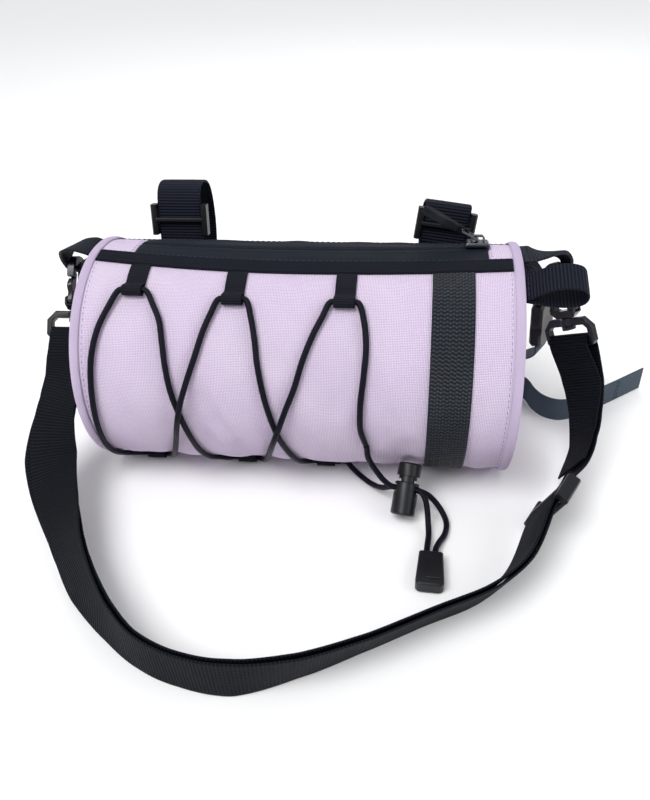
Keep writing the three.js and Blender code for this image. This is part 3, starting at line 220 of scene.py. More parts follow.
def lengths_along(points: Array) -> Array:
    """Distance along a line at each of its points."""
    steps = np.linalg.norm(np.diff(points[:, :3], axis=0), axis=1)
    return np.concatenate([[0.0], np.cumsum(steps)])


def respaced(rows: Array, step: float) -> Array:
    """The same line with its rows about one step apart.

    Args:
        rows: Rows whose first three columns are places.
        step: Distance between the new rows.

    Returns:
        The new rows.
    """
    along = lengths_along(rows)
    count = max(2, int(round(along[-1] / step)) + 1)
    spots = np.linspace(0, along[-1], count)
    return np.stack([np.interp(spots, along, column) for column in rows.T], axis=1)


def unit(vectors: Array) -> Array:
    """Vectors brought to length one."""
    return vectors / np.maximum(np.linalg.norm(vectors, axis=-1, keepdims=True), 1e-12)


def tangents(points: Array) -> Array:
    """Directions along a line at each of its points."""
    return unit(np.gradient(points[:, :3], axis=0))


def mesh_piece(name: str, rings: Array, cloth: Array, material: bpy.types.Material,
               looped: bool = False) -> bpy.types.Object:
    """A closed mesh through rings of points, riding on the bag.

    Args:
        name: Name of the piece.
        rings: Points as rings, points of a ring, and X, Y and Z.
        cloth: Surface coordinates of every point, in metres.
        material: Its finish.
        looped: Whether the last ring joins the first; otherwise both ends are closed.

    Returns:
        The new object.
    """
    count, size = rings.shape[:2]
    index = np.arange(count * size).reshape(count, size)
    following = np.roll(index, -1, axis=0) if looped else index[1:]
    here = index if looped else index[:-1]
    side, side_next = np.roll(here, -1, axis=1), np.roll(following, -1, axis=1)
    faces = np.stack([here, side, side_next, following], axis=-1).reshape(-1, 4).tolist()
    if not looped:
        half = size // 2
        for ring, order in ((index[0], 1), (index[-1], -1)):
            for j in range(half - 1):
                quad = [ring[j], ring[size - 1 - j], ring[size - 2 - j], ring[j + 1]]
                faces.append([int(i) for i in quad[::order]])
    return finished(name, rings.reshape(-1, 3), faces, cloth.reshape(-1, cloth.shape[-1]), material)


def finished(name: str, points: Array, faces: list[list[int]], cloth: Array,
             material: bpy.types.Material) -> bpy.types.Object:
    """Makes the object of a mesh, turns its faces outward, dresses it and lets it ride.

    Args:
        name: Name of the piece.
        points: Its vertices.
        faces: Vertex numbers of its faces.
        cloth: Surface coordinates of the vertices.
        material: Its finish.

    Returns:
        The new object.
    """
    mesh = bpy.data.meshes.new(name)
    mesh.from_pydata(np.asarray(points).tolist(), [], faces)
    mesh.validate()
    if signed_volume(mesh) < 0:
        mesh.flip_normals()
    flat = np.zeros((len(mesh.vertices), 3), np.float32)
    flat[:, : cloth.shape[1]] = cloth
    mesh.attributes.new(CLOTH, "FLOAT_VECTOR", "POINT").data.foreach_set("vector", flat.ravel())
    mesh.materials.append(material)
    mesh.polygons.foreach_set("use_smooth", [True] * len(mesh.polygons))
    piece = bpy.data.objects.new(name, mesh)
    bpy.context.scene.collection.objects.link(piece)
    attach(piece, BODY)
    LOG.info("%s: %d faces", name, len(mesh.polygons))
    return piece


def signed_volume(mesh: bpy.types.Mesh) -> float:
    """Volume that a closed mesh holds, negative when its faces turn inward.

    Args:
        mesh: The closed mesh.

    Returns:
        The volume in cubic metres.
    """
    spots = np.zeros(len(mesh.vertices) * 3)
    mesh.vertices.foreach_get("co", spots)
    spots = spots.reshape(-1, 3)
    mesh.calc_loop_triangles()
    corners = np.zeros(len(mesh.loop_triangles) * 3, int)
    mesh.loop_triangles.foreach_get("vertices", corners)
    a, b, c = spots[corners.reshape(-1, 3)].transpose(1, 0, 2)
    return float(np.einsum("ij,ij->i", a, np.cross(b, c)).sum() / 6)


def tube(name: str, path: Array, radius: float, material: bpy.types.Material,
         sides: int = 12) -> bpy.types.Object:
    """A round tube along a path, with its ends slightly rounded.

    Args:
        name: Name of the piece.
        path: Points along its middle.
        radius: Its radius.
        material: Its finish.
        sides: Points round the section.

    Returns:
        The new object.
    """
    along = tangents(path)
    across = [unit(np.cross(along[0], [0.13, 0.27, 0.95]))]
    for direction in along[1:]:
        across.append(unit(across[-1] - direction * float(across[-1] @ direction)))
    first = np.array(across)
    second = np.cross(along, first)
    turn = 2 * np.pi * np.arange(sides) / sides
    round_ = np.cos(turn)[None, :, None] * first[:, None] + np.sin(turn)[None, :, None] * second[:, None]
    reach = np.full(len(path), radius)
    reach[[0, -1]] *= 0.8
    rings = path[:, None] + round_ * reach[:, None, None]
    length = lengths_along(path)
    cloth = np.stack(np.broadcast_arrays(length[:, None], (turn * radius)[None, :]), axis=-1)
    return mesh_piece(name, rings, cloth, material)


# Shader building


class NodeSketch:
    """Short hand for adding and joining the nodes of one tree."""

    def __init__(self, tree: bpy.types.NodeTree) -> None:
        """Keeps the tree that the nodes go into."""
        self.tree = tree

    def node(self, kind: str, **settings: Any) -> bpy.types.Node:
        """Adds a node with those settings.

        Args:
            kind: Blender's name of the node's type.
            settings: Properties of the node.

        Returns:
            The new node.
        """
        made = self.tree.nodes.new(kind)
        for key, value in settings.items():
            setattr(made, key, value)
        return made

    def feed(self, socket: bpy.types.NodeSocket, value: Any) -> None:
        """Joins a socket to another, or sets its value.

        Args:
            socket: The input that gets the value.
            value: A socket to join, or a plain value.
        """
        if isinstance(value, bpy.types.NodeSocket):
            self.tree.links.new(value, socket)
        else:
            socket.default_value = value

    def math(self, operation: str, *values: Any) -> bpy.types.NodeSocket:
        """Adds a Math node and returns its value.

        Args:
            operation: Blender's name of the operation.
            values: Sockets or plain values for its inputs.

        Returns:
            Its output.
        """
        made = self.node("ShaderNodeMath", operation=operation)
        for socket, value in zip(made.inputs, values):
            self.feed(socket, value)
        return made.outputs[0]

    def spread(self, value: Any, low: float, high: float, to_low: float = 0.0,
               to_high: float = 1.0) -> bpy.types.NodeSocket:
        """Maps a value from one range to another, held inside it.

        Args:
            value: The value to map.
            low: Low end of the range.
            high: High end of the range.
            to_low: Result at the low end.
            to_high: Result at the high end.

        Returns:
            Its output.
        """
        made = self.node("ShaderNodeMapRange", clamp=True)
        for socket, entry in zip(made.inputs, (value, low, high, to_low, to_high)):
            self.feed(socket, entry)
        return made.outputs[0]

    def noise(self, vector: Any, scale: Any, detail: float = 3.0,
              rough: float = 0.55) -> bpy.types.NodeSocket:
        """Adds a Noise Texture and returns its factor.

        Args:
            vector: Coordinates to read.
            scale: Fineness of the pattern.
            detail: Number of finer layers.
            rough: Strength of the finer layers.

        Returns:
            Its factor.
        """
        made = self.node("ShaderNodeTexNoise")
        self.feed(made.inputs["Vector"], vector)
        self.feed(made.inputs["Scale"], scale)
        made.inputs["Detail"].default_value = detail
        made.inputs["Roughness"].default_value = rough
        return made.outputs["Fac"]

    def mix(self, share: Any, low: Any, high: Any) -> bpy.types.NodeSocket:
        """Mixes two colours.

        Args:
            share: Share of the second colour.
            low: The first colour.
            high: The second colour.

        Returns:
            The mixed colour.
        """
        made = self.node("ShaderNodeMix", data_type="RGBA")
        for place, value in ((0, share), (6, low), (7, high)):
            self.feed(made.inputs[place], value)
        return made.outputs[2]

    def parts(self, vector: Any) -> list[bpy.types.NodeSocket]:
        """The three numbers of a vector.

        Args:
            vector: Coordinates to read.

        Returns:
            The sockets of X, Y and Z.
        """
        made = self.node("ShaderNodeSeparateXYZ")
        self.feed(made.inputs[0], vector)
        return list(made.outputs)

    def bump(self, height: Any, distance: float, strength: float, under: Any = None) -> bpy.types.NodeSocket:
        """Adds a Bump node and returns its normal.

        Args:
            height: Heights from 0 to 1.
            distance: Depth in metres.
            strength: Share of the effect.
            under: A normal to build on, or None.

        Returns:
            The bumped normal.
        """
        made = self.node("ShaderNodeBump")
        made.inputs["Strength"].default_value = strength
        made.inputs["Distance"].default_value = distance
        self.feed(made.inputs["Height"], height)
        if under is not None:
            self.feed(made.inputs["Normal"], under)
        return made.outputs["Normal"]

    def placed(self, tree: bpy.types.NodeTree, **values: Any) -> bpy.types.bpy_prop_collection:
        """Places a node group with its values and returns its outputs.

        Args:
            tree: The node group.
            values: Its inputs by name.

        Returns:
            Its outputs by name.
        """
        made = self.node("ShaderNodeGroup", node_tree=tree)
        for key, value in values.items():
            self.feed(made.inputs[key.replace("_", " ")], value)
        return made.outputs


class GroupMaker:
    """Makes each shared node group once."""

    @staticmethod
    def _open(name: str, inputs: Sequence[tuple[str, str]], outputs: Sequence[str]) -> tuple:
        """Starts a group with named sockets.

        Args:
            name: Name of the group.
            inputs: Names and kinds of its inputs.
            outputs: Names of its outputs, all plain values.

        Returns:
            The sketch of its tree, its inputs by name and its output node.
        """
        tree = bpy.data.node_groups.new(name, "ShaderNodeTree")
        for label, kind in inputs:
            tree.interface.new_socket(label, in_out="INPUT", socket_type=f"NodeSocket{kind}")
        for label in outputs:
            tree.interface.new_socket(label, in_out="OUTPUT", socket_type="NodeSocketFloat")
        sketch = NodeSketch(tree)
        return sketch, sketch.node("NodeGroupInput").outputs, sketch.node("NodeGroupOutput").inputs

    @staticmethod
    @functools.cache
    def plain_weave() -> bpy.types.NodeTree:
        """Yarns that pass over and under each other: Height, and Gap Shade, a mask of painted shade in the
        gaps between the yarns.

        Returns:
            The group's tree.
        """
        sketch, given, result = GroupMaker._open(
            "plain weave", [("Cloth", "Vector"), ("Yarn", "Float")], ["Height", "Gaps"])
        u, v, _ = sketch.parts(given["Cloth"])
        waver = sketch.noise(given["Cloth"], 260.0, 2.0)
        waver = sketch.math("MULTIPLY_ADD", waver, 0.24, -0.12)
        cells, hills = [], []
        for part in (u, v):
            place = sketch.math("ADD", sketch.math("DIVIDE", part, given["Yarn"]), waver)
            cells.append(sketch.math("FLOOR", place))
            hills.append(sketch.math("SINE", sketch.math("MULTIPLY", sketch.math("FRACT", place), math.pi)))
        over = sketch.math("PINGPONG", sketch.math("ADD", *cells), 1.0)
        tops = []
        for own, other in (hills, hills[::-1]):
            tops.append(sketch.math("MULTIPLY", own, sketch.math("MULTIPLY_ADD", other, 0.5, 0.5)))
        gain = sketch.math("SUBTRACT", tops[1], tops[0])
        height = sketch.math("MULTIPLY_ADD", gain, over, tops[0])
        sketch.feed(result["Height"], height)
        # Gap Shade is 1 where the yarns dip low: the mask for painted shade between the yarns.
        sketch.feed(result["Gaps"], sketch.spread(height, 0.1, 0.8, 1.0, 0.0))
        return sketch.tree

    @staticmethod
    @functools.cache
    def rib_weave() -> bpy.types.NodeTree:
        """Webbing: ribs across the strap that step from column to column: Height, and Ridge Highlight, a mask
        of painted highlight on the rib tops.

        Returns:
            The group's tree.
        """
        sketch, given, result = GroupMaker._open(
            "rib weave", [("Cloth", "Vector"), ("Rib", "Float"), ("Column", "Float"), ("Step", "Float")],
            ["Height", "Ridge"])
        u, v, _ = sketch.parts(given["Cloth"])
        column = sketch.math("DIVIDE", v, given["Column"])
        other = sketch.math("FLOORED_MODULO", sketch.math("FLOOR", column), 2.0)
        shift = sketch.math("MULTIPLY", other, given["Step"])
        place = sketch.math("ADD", sketch.math("DIVIDE", u, given["Rib"]), shift)
        rib = sketch.math("ABSOLUTE", sketch.math("SINE", sketch.math("MULTIPLY", place, math.pi)))
        thread = sketch.math("SINE", sketch.math("MULTIPLY", sketch.math("FRACT", column), math.pi))
        height = sketch.math("MULTIPLY", rib, sketch.math("MULTIPLY_ADD", thread, 0.45, 0.55))
        sketch.feed(result["Height"], height)
        # Ridge Highlight is the rib tops: the mask for a painted highlight.
        sketch.feed(result["Ridge"], sketch.spread(height, 0.45, 1.0))
        return sketch.tree

    @staticmethod
    @functools.cache
    def braid() -> bpy.types.NodeTree:
        """Sleeve of a cord, plaited from yarns that cross on the slant: Height.

        Returns:
            The group's tree.
        """
        sketch, given, result = GroupMaker._open(
            "braid", [("Cloth", "Vector"), ("Pitch", "Float")], ["Height"])
        along, around, _ = sketch.parts(given["Cloth"])
        waves = []
        for operation in ("ADD", "SUBTRACT"):
            slant = sketch.math("DIVIDE", sketch.math(operation, along, around), given["Pitch"])
            wave = sketch.math("SINE", sketch.math("MULTIPLY", slant, math.pi))
            waves.append(sketch.math("ABSOLUTE", wave))
        sketch.feed(result["Height"], sketch.math("MAXIMUM", *waves))
        return sketch.tree

    @staticmethod
    @functools.cache
    def handling() -> bpy.types.NodeTree:
        """Uneven dye, lint and rubbing of a thing that is carried about: Shade and Lint.

        Returns:
            The group's tree.
        """
        sketch, given, result = GroupMaker._open(
            "handling", [("Place", "Vector"), ("Broad", "Float"), ("Fine", "Float")], ["Shade", "Lint"])
        broad = sketch.noise(given["Place"], given["Broad"], 3.0)
        fine = sketch.noise(given["Place"], given["Fine"], 4.0, 0.7)
        shade = sketch.math("MULTIPLY_ADD", broad, 0.7, sketch.math("MULTIPLY", fine, 0.3))
        sketch.feed(result["Shade"], sketch.spread(shade, 0.34, 0.66))
        sketch.feed(result["Lint"], sketch.spread(fine, 0.62, 0.8))
        return sketch.tree

    @staticmethod
    @functools.cache
    def moulded_grain() -> bpy.types.NodeTree:
        """Fine spark texture of moulded plastic and its rubbed patches: Height and Rub.

        Returns:
            The group's tree.
        """
        sketch, given, result = GroupMaker._open(
            "moulded grain", [("Place", "Vector"), ("Grain", "Float")], ["Height", "Rub"])
        sketch.feed(result["Height"], sketch.noise(given["Place"], given["Grain"], 2.0, 0.6))
        sketch.feed(result["Rub"], sketch.spread(sketch.noise(given["Place"], 90.0, 3.0), 0.4, 0.7))
        return sketch.tree


Colour = tuple[float, float, float]


def rgba(colour: Colour) -> tuple[float, float, float, float]:
    """A screen colour from 0 to 255 as Blender's linear one.

    Args:
        colour: Red, green and blue from 0 to 255.

    Returns:
        Linear red, green, blue and a full alpha.
    """
    linear = []
    for part in colour:
        share = part / 255
        linear.append(share / 12.92 if share <= 0.04045 else ((share + 0.055) / 1.055) ** 2.4)
    return (*linear, 1.0)


@dataclass(frozen=True)
class Finish:
    """What every finish shares: its name, roughness and sheen."""

    name: str
    roughness: float
    sheen: float = 0.0
    sheen_colour: Colour = (255, 255, 255)
    specular: float = 0.12

    def material(self) -> bpy.types.Material:
        """The Blender material of this finish, made once.

        Returns:
            The material.
        """
        title = f"{self.name}_finish"
        known = bpy.data.materials.get(title)
        if known is not None:
            return known
        material = bpy.data.materials.new(title)
        material.use_nodes = True
        sketch = NodeSketch(material.node_tree)
        shader = material.node_tree.nodes["Principled BSDF"]
        shader.inputs["Roughness"].default_value = self.roughness
        shader.inputs["Specular IOR Level"].default_value = self.specular
        shader.inputs["Sheen Weight"].default_value = self.sheen
        shader.inputs["Sheen Roughness"].default_value = 0.45
        shader.inputs["Sheen Tint"].default_value = rgba(self.sheen_colour)
        self.dress(sketch, shader)
        return material

    def cloth(self, sketch: NodeSketch) -> bpy.types.NodeSocket:
        """The surface coordinates that are stored on the cloth pieces."""
        return sketch.node("ShaderNodeAttribute", attribute_name=CLOTH).outputs["Vector"]

    def place(self, sketch: NodeSketch) -> bpy.types.NodeSocket:
        """Coordinates of the object's own space."""
        return sketch.node("ShaderNodeTexCoord").outputs["Object"]

    def dress(self, sketch: NodeSketch, shader: bpy.types.Node) -> None:
        """Adds this finish's own nodes; each kind of finish has its own."""


@dataclass(frozen=True)
class Canvas(Finish):
    """Oxford canvas of one colour, with painted shade in the gaps between its yarns."""

    light: Colour = (251, 238, 253)
    shade: Colour = (243, 226, 249)
    # gaps: colour of the painted shade between the yarns
    gaps: Colour = (192, 168, 214)
    yarn: float = 0.00078
    depth: float = 0.00045

    def dress(self, sketch: NodeSketch, shader: bpy.types.Node) -> None:
        """Weave for bump and for painted shade between the yarns, with uneven dye over it.

        Args:
            sketch: Sketch of the material's tree.
            shader: The material's Principled BSDF.
        """
        weave = sketch.placed(GroupMaker.plain_weave(), Cloth=self.cloth(sketch), Yarn=self.yarn)
        worn = sketch.placed(GroupMaker.handling(), Place=self.place(sketch), Broad=22.0, Fine=900.0)
        base = sketch.mix(worn["Shade"], rgba(self.shade), rgba(self.light))
        # Painted shade: the gaps between the yarns are darkened towards the gaps colour.
        share = sketch.math("MULTIPLY", weave["Gaps"], 0.9)
        sketch.feed(shader.inputs["Base Color"], sketch.mix(share, base, rgba(self.gaps)))
        rough = sketch.math("MULTIPLY_ADD", worn["Lint"], 0.12, self.roughness)
        sketch.feed(shader.inputs["Roughness"], rough)
        sketch.feed(shader.inputs["Normal"], sketch.bump(weave["Height"], self.depth, 0.9))


@dataclass(frozen=True)
class Webbing(Finish):
    """Ribbed webbing or tape, with a painted highlight on the ridges that catch the light."""

    body: Colour = (9, 10, 14)
    # ridge: colour of the painted highlight on the rib tops
    ridge: Colour = (30, 35, 46)
    rib: float = 0.0016
    column: float = 0.0012
    step: float = 0.5
    depth: float = 0.0003

    def dress(self, sketch: NodeSketch, shader: bpy.types.Node) -> None:
        """Ribs for bump and for a painted highlight on their tops, with lint and rubbed patches.

        Args:
            sketch: Sketch of the material's tree.
            shader: The material's Principled BSDF.
        """
        weave = sketch.placed(
            GroupMaker.rib_weave(), Cloth=self.cloth(sketch), Rib=self.rib, Column=self.column,
            Step=self.step)
        worn = sketch.placed(GroupMaker.handling(), Place=self.place(sketch), Broad=30.0, Fine=1400.0)
        # Painted highlight: the rib tops are lightened towards the ridge colour, unevenly by the random tone.
        ridge = sketch.math("MULTIPLY", weave["Ridge"], sketch.math("MULTIPLY_ADD", worn["Shade"], 0.5, 0.5))
        colour = sketch.mix(ridge, rgba(self.body), rgba(self.ridge))
        lint = sketch.math("MULTIPLY", worn["Lint"], 0.12)
        sketch.feed(shader.inputs["Base Color"], sketch.mix(lint, colour, rgba((120, 124, 134))))
        rough = sketch.math("MULTIPLY_ADD", worn["Shade"], 0.14, self.roughness - 0.07)
        sketch.feed(shader.inputs["Roughness"], rough)
        sketch.feed(shader.inputs["Normal"], sketch.bump(weave["Height"], self.depth, 0.9))


@dataclass(frozen=True)
class Braid(Finish):
    """Plaited sleeve of the elastic cord, or a twisted sewing thread."""

    body: Colour = (7, 6, 14)
    # ridge: colour of the painted highlight on the raised yarns
    ridge: Colour = (22, 21, 38)
    pitch: float = 0.0011
    depth: float = 0.00018

    def dress(self, sketch: NodeSketch, shader: bpy.types.Node) -> None:
        """Slanting yarns for bump and for a painted highlight on their raised tops.

        Args:
            sketch: Sketch of the material's tree.
            shader: The material's Principled BSDF.
        """
        plait = sketch.placed(GroupMaker.braid(), Cloth=self.cloth(sketch), Pitch=self.pitch)
        worn = sketch.placed(GroupMaker.handling(), Place=self.place(sketch), Broad=40.0, Fine=1600.0)
        # Painted highlight: the raised yarns are lightened towards the ridge colour.
        high = sketch.math("MULTIPLY", sketch.spread(plait["Height"], 0.6, 1.0),
                           sketch.math("MULTIPLY_ADD", worn["Shade"], 0.5, 0.4))
        sketch.feed(shader.inputs["Base Color"], sketch.mix(high, rgba(self.body), rgba(self.ridge)))
        rough = sketch.math("MULTIPLY_ADD", worn["Lint"], 0.1, self.roughness)
        sketch.feed(shader.inputs["Roughness"], rough)
        sketch.feed(shader.inputs["Normal"], sketch.bump(plait["Height"], self.depth, 0.8))


@dataclass(frozen=True)
class Moulded(Finish):
    """Black moulded plastic or lacquered metal, with fine grain and rubbed patches."""

    body: Colour = (9, 10, 12)
    rubbed: Colour = (20, 23, 29)
    grain: float = 2600.0
    depth: float = 0.00006
    metallic: float = 0.0

    def dress(self, sketch: NodeSketch, shader: bpy.types.Node) -> None:
        """Grain in the bump and rubbed patches in colour and gloss.

        Args:
            sketch: Sketch of the material's tree.
            shader: The material's Principled BSDF.
        """
        grain = sketch.placed(GroupMaker.moulded_grain(), Place=self.place(sketch), Grain=self.grain)
        shader.inputs["Metallic"].default_value = self.metallic
        sketch.feed(shader.inputs["Base Color"], sketch.mix(grain["Rub"], rgba(self.body), rgba(self.rubbed)))
        rough = sketch.math("MULTIPLY_ADD", grain["Rub"], -0.1, self.roughness)
        sketch.feed(shader.inputs["Roughness"], rough)
        sketch.feed(shader.inputs["Normal"], sketch.bump(grain["Height"], self.depth, 0.5))


@dataclass(frozen=True)
class PullCloth(Moulded):
    """Dense cloth of the zip's pull, which has no surface coordinates of its own."""

    yarn: float = 0.0007

    def dress(self, sketch: NodeSketch, shader: bpy.types.Node) -> None:
        """Yarns over the moulded kind's uneven colour.

        Args:
            sketch: Sketch of the material's tree.
            shader: The material's Principled BSDF.
        """
        super().dress(sketch, shader)
        weave = sketch.placed(GroupMaker.plain_weave(), Cloth=self.place(sketch), Yarn=self.yarn)
        sketch.feed(shader.inputs["Normal"], sketch.bump(weave["Height"], 0.0002, 0.8))


# Every canvas below darkens the gaps between its yarns with painted shade.
LILAC = Canvas("lilac_canvas", 0.82, sheen=0.25, sheen_colour=(236, 222, 246))
LILAC_BIAS = Canvas("lilac_canvas_bias", 0.8, sheen=0.25, sheen_colour=(236, 222, 246),
                    light=(230, 216, 243), yarn=0.00055)
BLACK_CANVAS = Canvas("black_canvas", 0.8, sheen=0.06, sheen_colour=(150, 160, 180), light=(20, 22, 28),
                      shade=(14, 15, 20), gaps=(6, 6, 8))
# The ridge colours of the webbings, tapes, cord and threads below are painted highlights on their raised ribs
# and yarns.
STRAP_WEB = Webbing("strap_webbing", 0.66, sheen=0.0, sheen_colour=(130, 150, 190), specular=0.1, step=0.0,
                    body=(6, 7, 11), ridge=(26, 32, 45))
WIDE_WEB = Webbing("front_webbing", 0.42, sheen=0.02, sheen_colour=(130, 150, 190), specular=0.3, rib=0.0019,
                   column=0.00145, step=0.3, body=(7, 8, 11), ridge=(46, 58, 74), depth=0.0005)
LOOP_WEB = Webbing("loop_webbing", 0.6, sheen=0.0, sheen_colour=(130, 150, 200), specular=0.14, step=0.0,
                   body=(6, 7, 13), ridge=(30, 38, 62))
TAB_WEB = Webbing("tab_webbing", 0.66, sheen=0.02, sheen_colour=(130, 150, 190), rib=0.0011,
                  column=0.0010, step=0.0, ridge=(32, 38, 54), depth=0.0002)
STRIP_WEB = Webbing("binding_tape", 0.75, sheen=0.02, sheen_colour=(130, 150, 190), rib=0.0009,
                    column=0.0009, step=0.5, ridge=(30, 36, 52), depth=0.00016)
ZIP_TAPE = Webbing("zip_tape", 0.6, sheen=0.03, sheen_colour=(140, 165, 200), rib=0.0006,
                   column=0.0006, body=(11, 16, 24), ridge=(26, 35, 48), depth=0.0001)
SLATE_WEB = Webbing("slate_webbing", 0.7, sheen=0.2, sheen_colour=(170, 185, 200), rib=0.0013,
                    column=0.0011, step=0.5, body=(58, 68, 79), ridge=(86, 98, 110), depth=0.0002)
CORD = Braid("elastic_cord", 0.4, specular=0.12, sheen=0.0, sheen_colour=(140, 140, 190))
PULL = PullCloth("zip_pull", 0.8, body=(12, 14, 19), rubbed=(30, 34, 42), specular=0.15)
THREAD = Braid("black_thread", 0.55, body=(22, 25, 34), ridge=(78, 88, 108), pitch=0.0004, depth=0.00005)
LILAC_THREAD = Braid("lilac_thread", 0.6, body=(128, 112, 152), ridge=(176, 160, 200), pitch=0.0004,
                     depth=0.00005)
PLASTIC = Moulded("black_plastic", 0.4, specular=0.4)
GLOSSY = Moulded("gloss_plastic", 0.3, specular=0.5, rubbed=(26, 29, 36))
GUNMETAL = Moulded("zip_metal", 0.24, body=(98, 100, 108), rubbed=(112, 115, 124), metallic=1.0, grain=700.0,
                   depth=0.000006)


# Threads


@dataclass
class Stitching:
    """Rows of single stitches that lie on a surface and dip into it at their ends."""

    thread: float = 0.00042
    length: float = 0.0022
    space: float = 0.0007
    sides: int = 6
    rows: list[Array] = field(default_factory=list)
    marks: list[Array] = field(default_factory=list)

    def along(self, line: Array, outward: Array, lift: float = 0.0) -> None:
        """Adds stitches along a line on a surface.

        Args:
            line: Points on the surface.
            outward: Directions out of the surface at those points.
            lift: Extra height over the surface.
        """
        rows = respaced(np.hstack([line, outward]), 0.0002)
        reach = lengths_along(rows)
        pace = self.length + self.space
        count = int((reach[-1] - self.length) // pace) + 1
        start = (reach[-1] - count * pace + self.space) / 2
        shares = np.array([0.0, 0.14, 0.5, 0.86, 1.0])
        dips = np.array([-1.1, 0.05, 0.4, 0.05, -1.1]) * self.thread / 2
        turn = 2 * np.pi * np.arange(self.sides) / self.sides
        for i in range(count):
            spots = start + i * pace + shares * self.length
            held = np.stack([np.interp(spots, reach, column) for column in rows.T], axis=1)
            out = unit(held[:, 3:])
            middle = held[:, :3] + out * (dips + lift)[:, None]
            side = unit(np.cross(tangents(middle), out))
            high = np.cross(side, tangents(middle))
            size = self.thread / 2 * np.array([0.5, 0.9, 1.0, 0.9, 0.5])
            ring = np.cos(turn)[None, :, None] * side[:, None] + np.sin(turn)[None, :, None] * high[:, None]
            self.rows.append(middle[:, None] + ring * size[:, None, None])
            self.marks.append(np.stack(np.broadcast_arrays(
                (shares * self.length)[:, None], (turn * self.thread / 2)[None, :]), axis=-1))

    def build(self, name: str, finish: Finish) -> bpy.types.Object:
        """Makes one piece of all the stitches.

        Args:
            name: Name of the piece.
            finish: Finish of the thread.

        Returns:
            The new object.
        """
        faces, size = [], self.sides
        for k, ring in enumerate(self.rows):
            base = k * ring.shape[0] * size
            for i in range(ring.shape[0] - 1):
                for j in range(size):
                    a, b = base + i * size + j, base + i * size + (j + 1) % size
                    faces.append([a, b, b + size, a + size])
            last = base + (ring.shape[0] - 1) * size
            faces.append([base + j for j in reversed(range(size))])
            faces.append([last + j for j in range(size)])
        points = np.concatenate([ring.reshape(-1, 3) for ring in self.rows])
        cloth = np.concatenate([mark.reshape(-1, 2) for mark in self.marks])
        return finished(name, points, faces, cloth, finish.material())


# Elastic cord


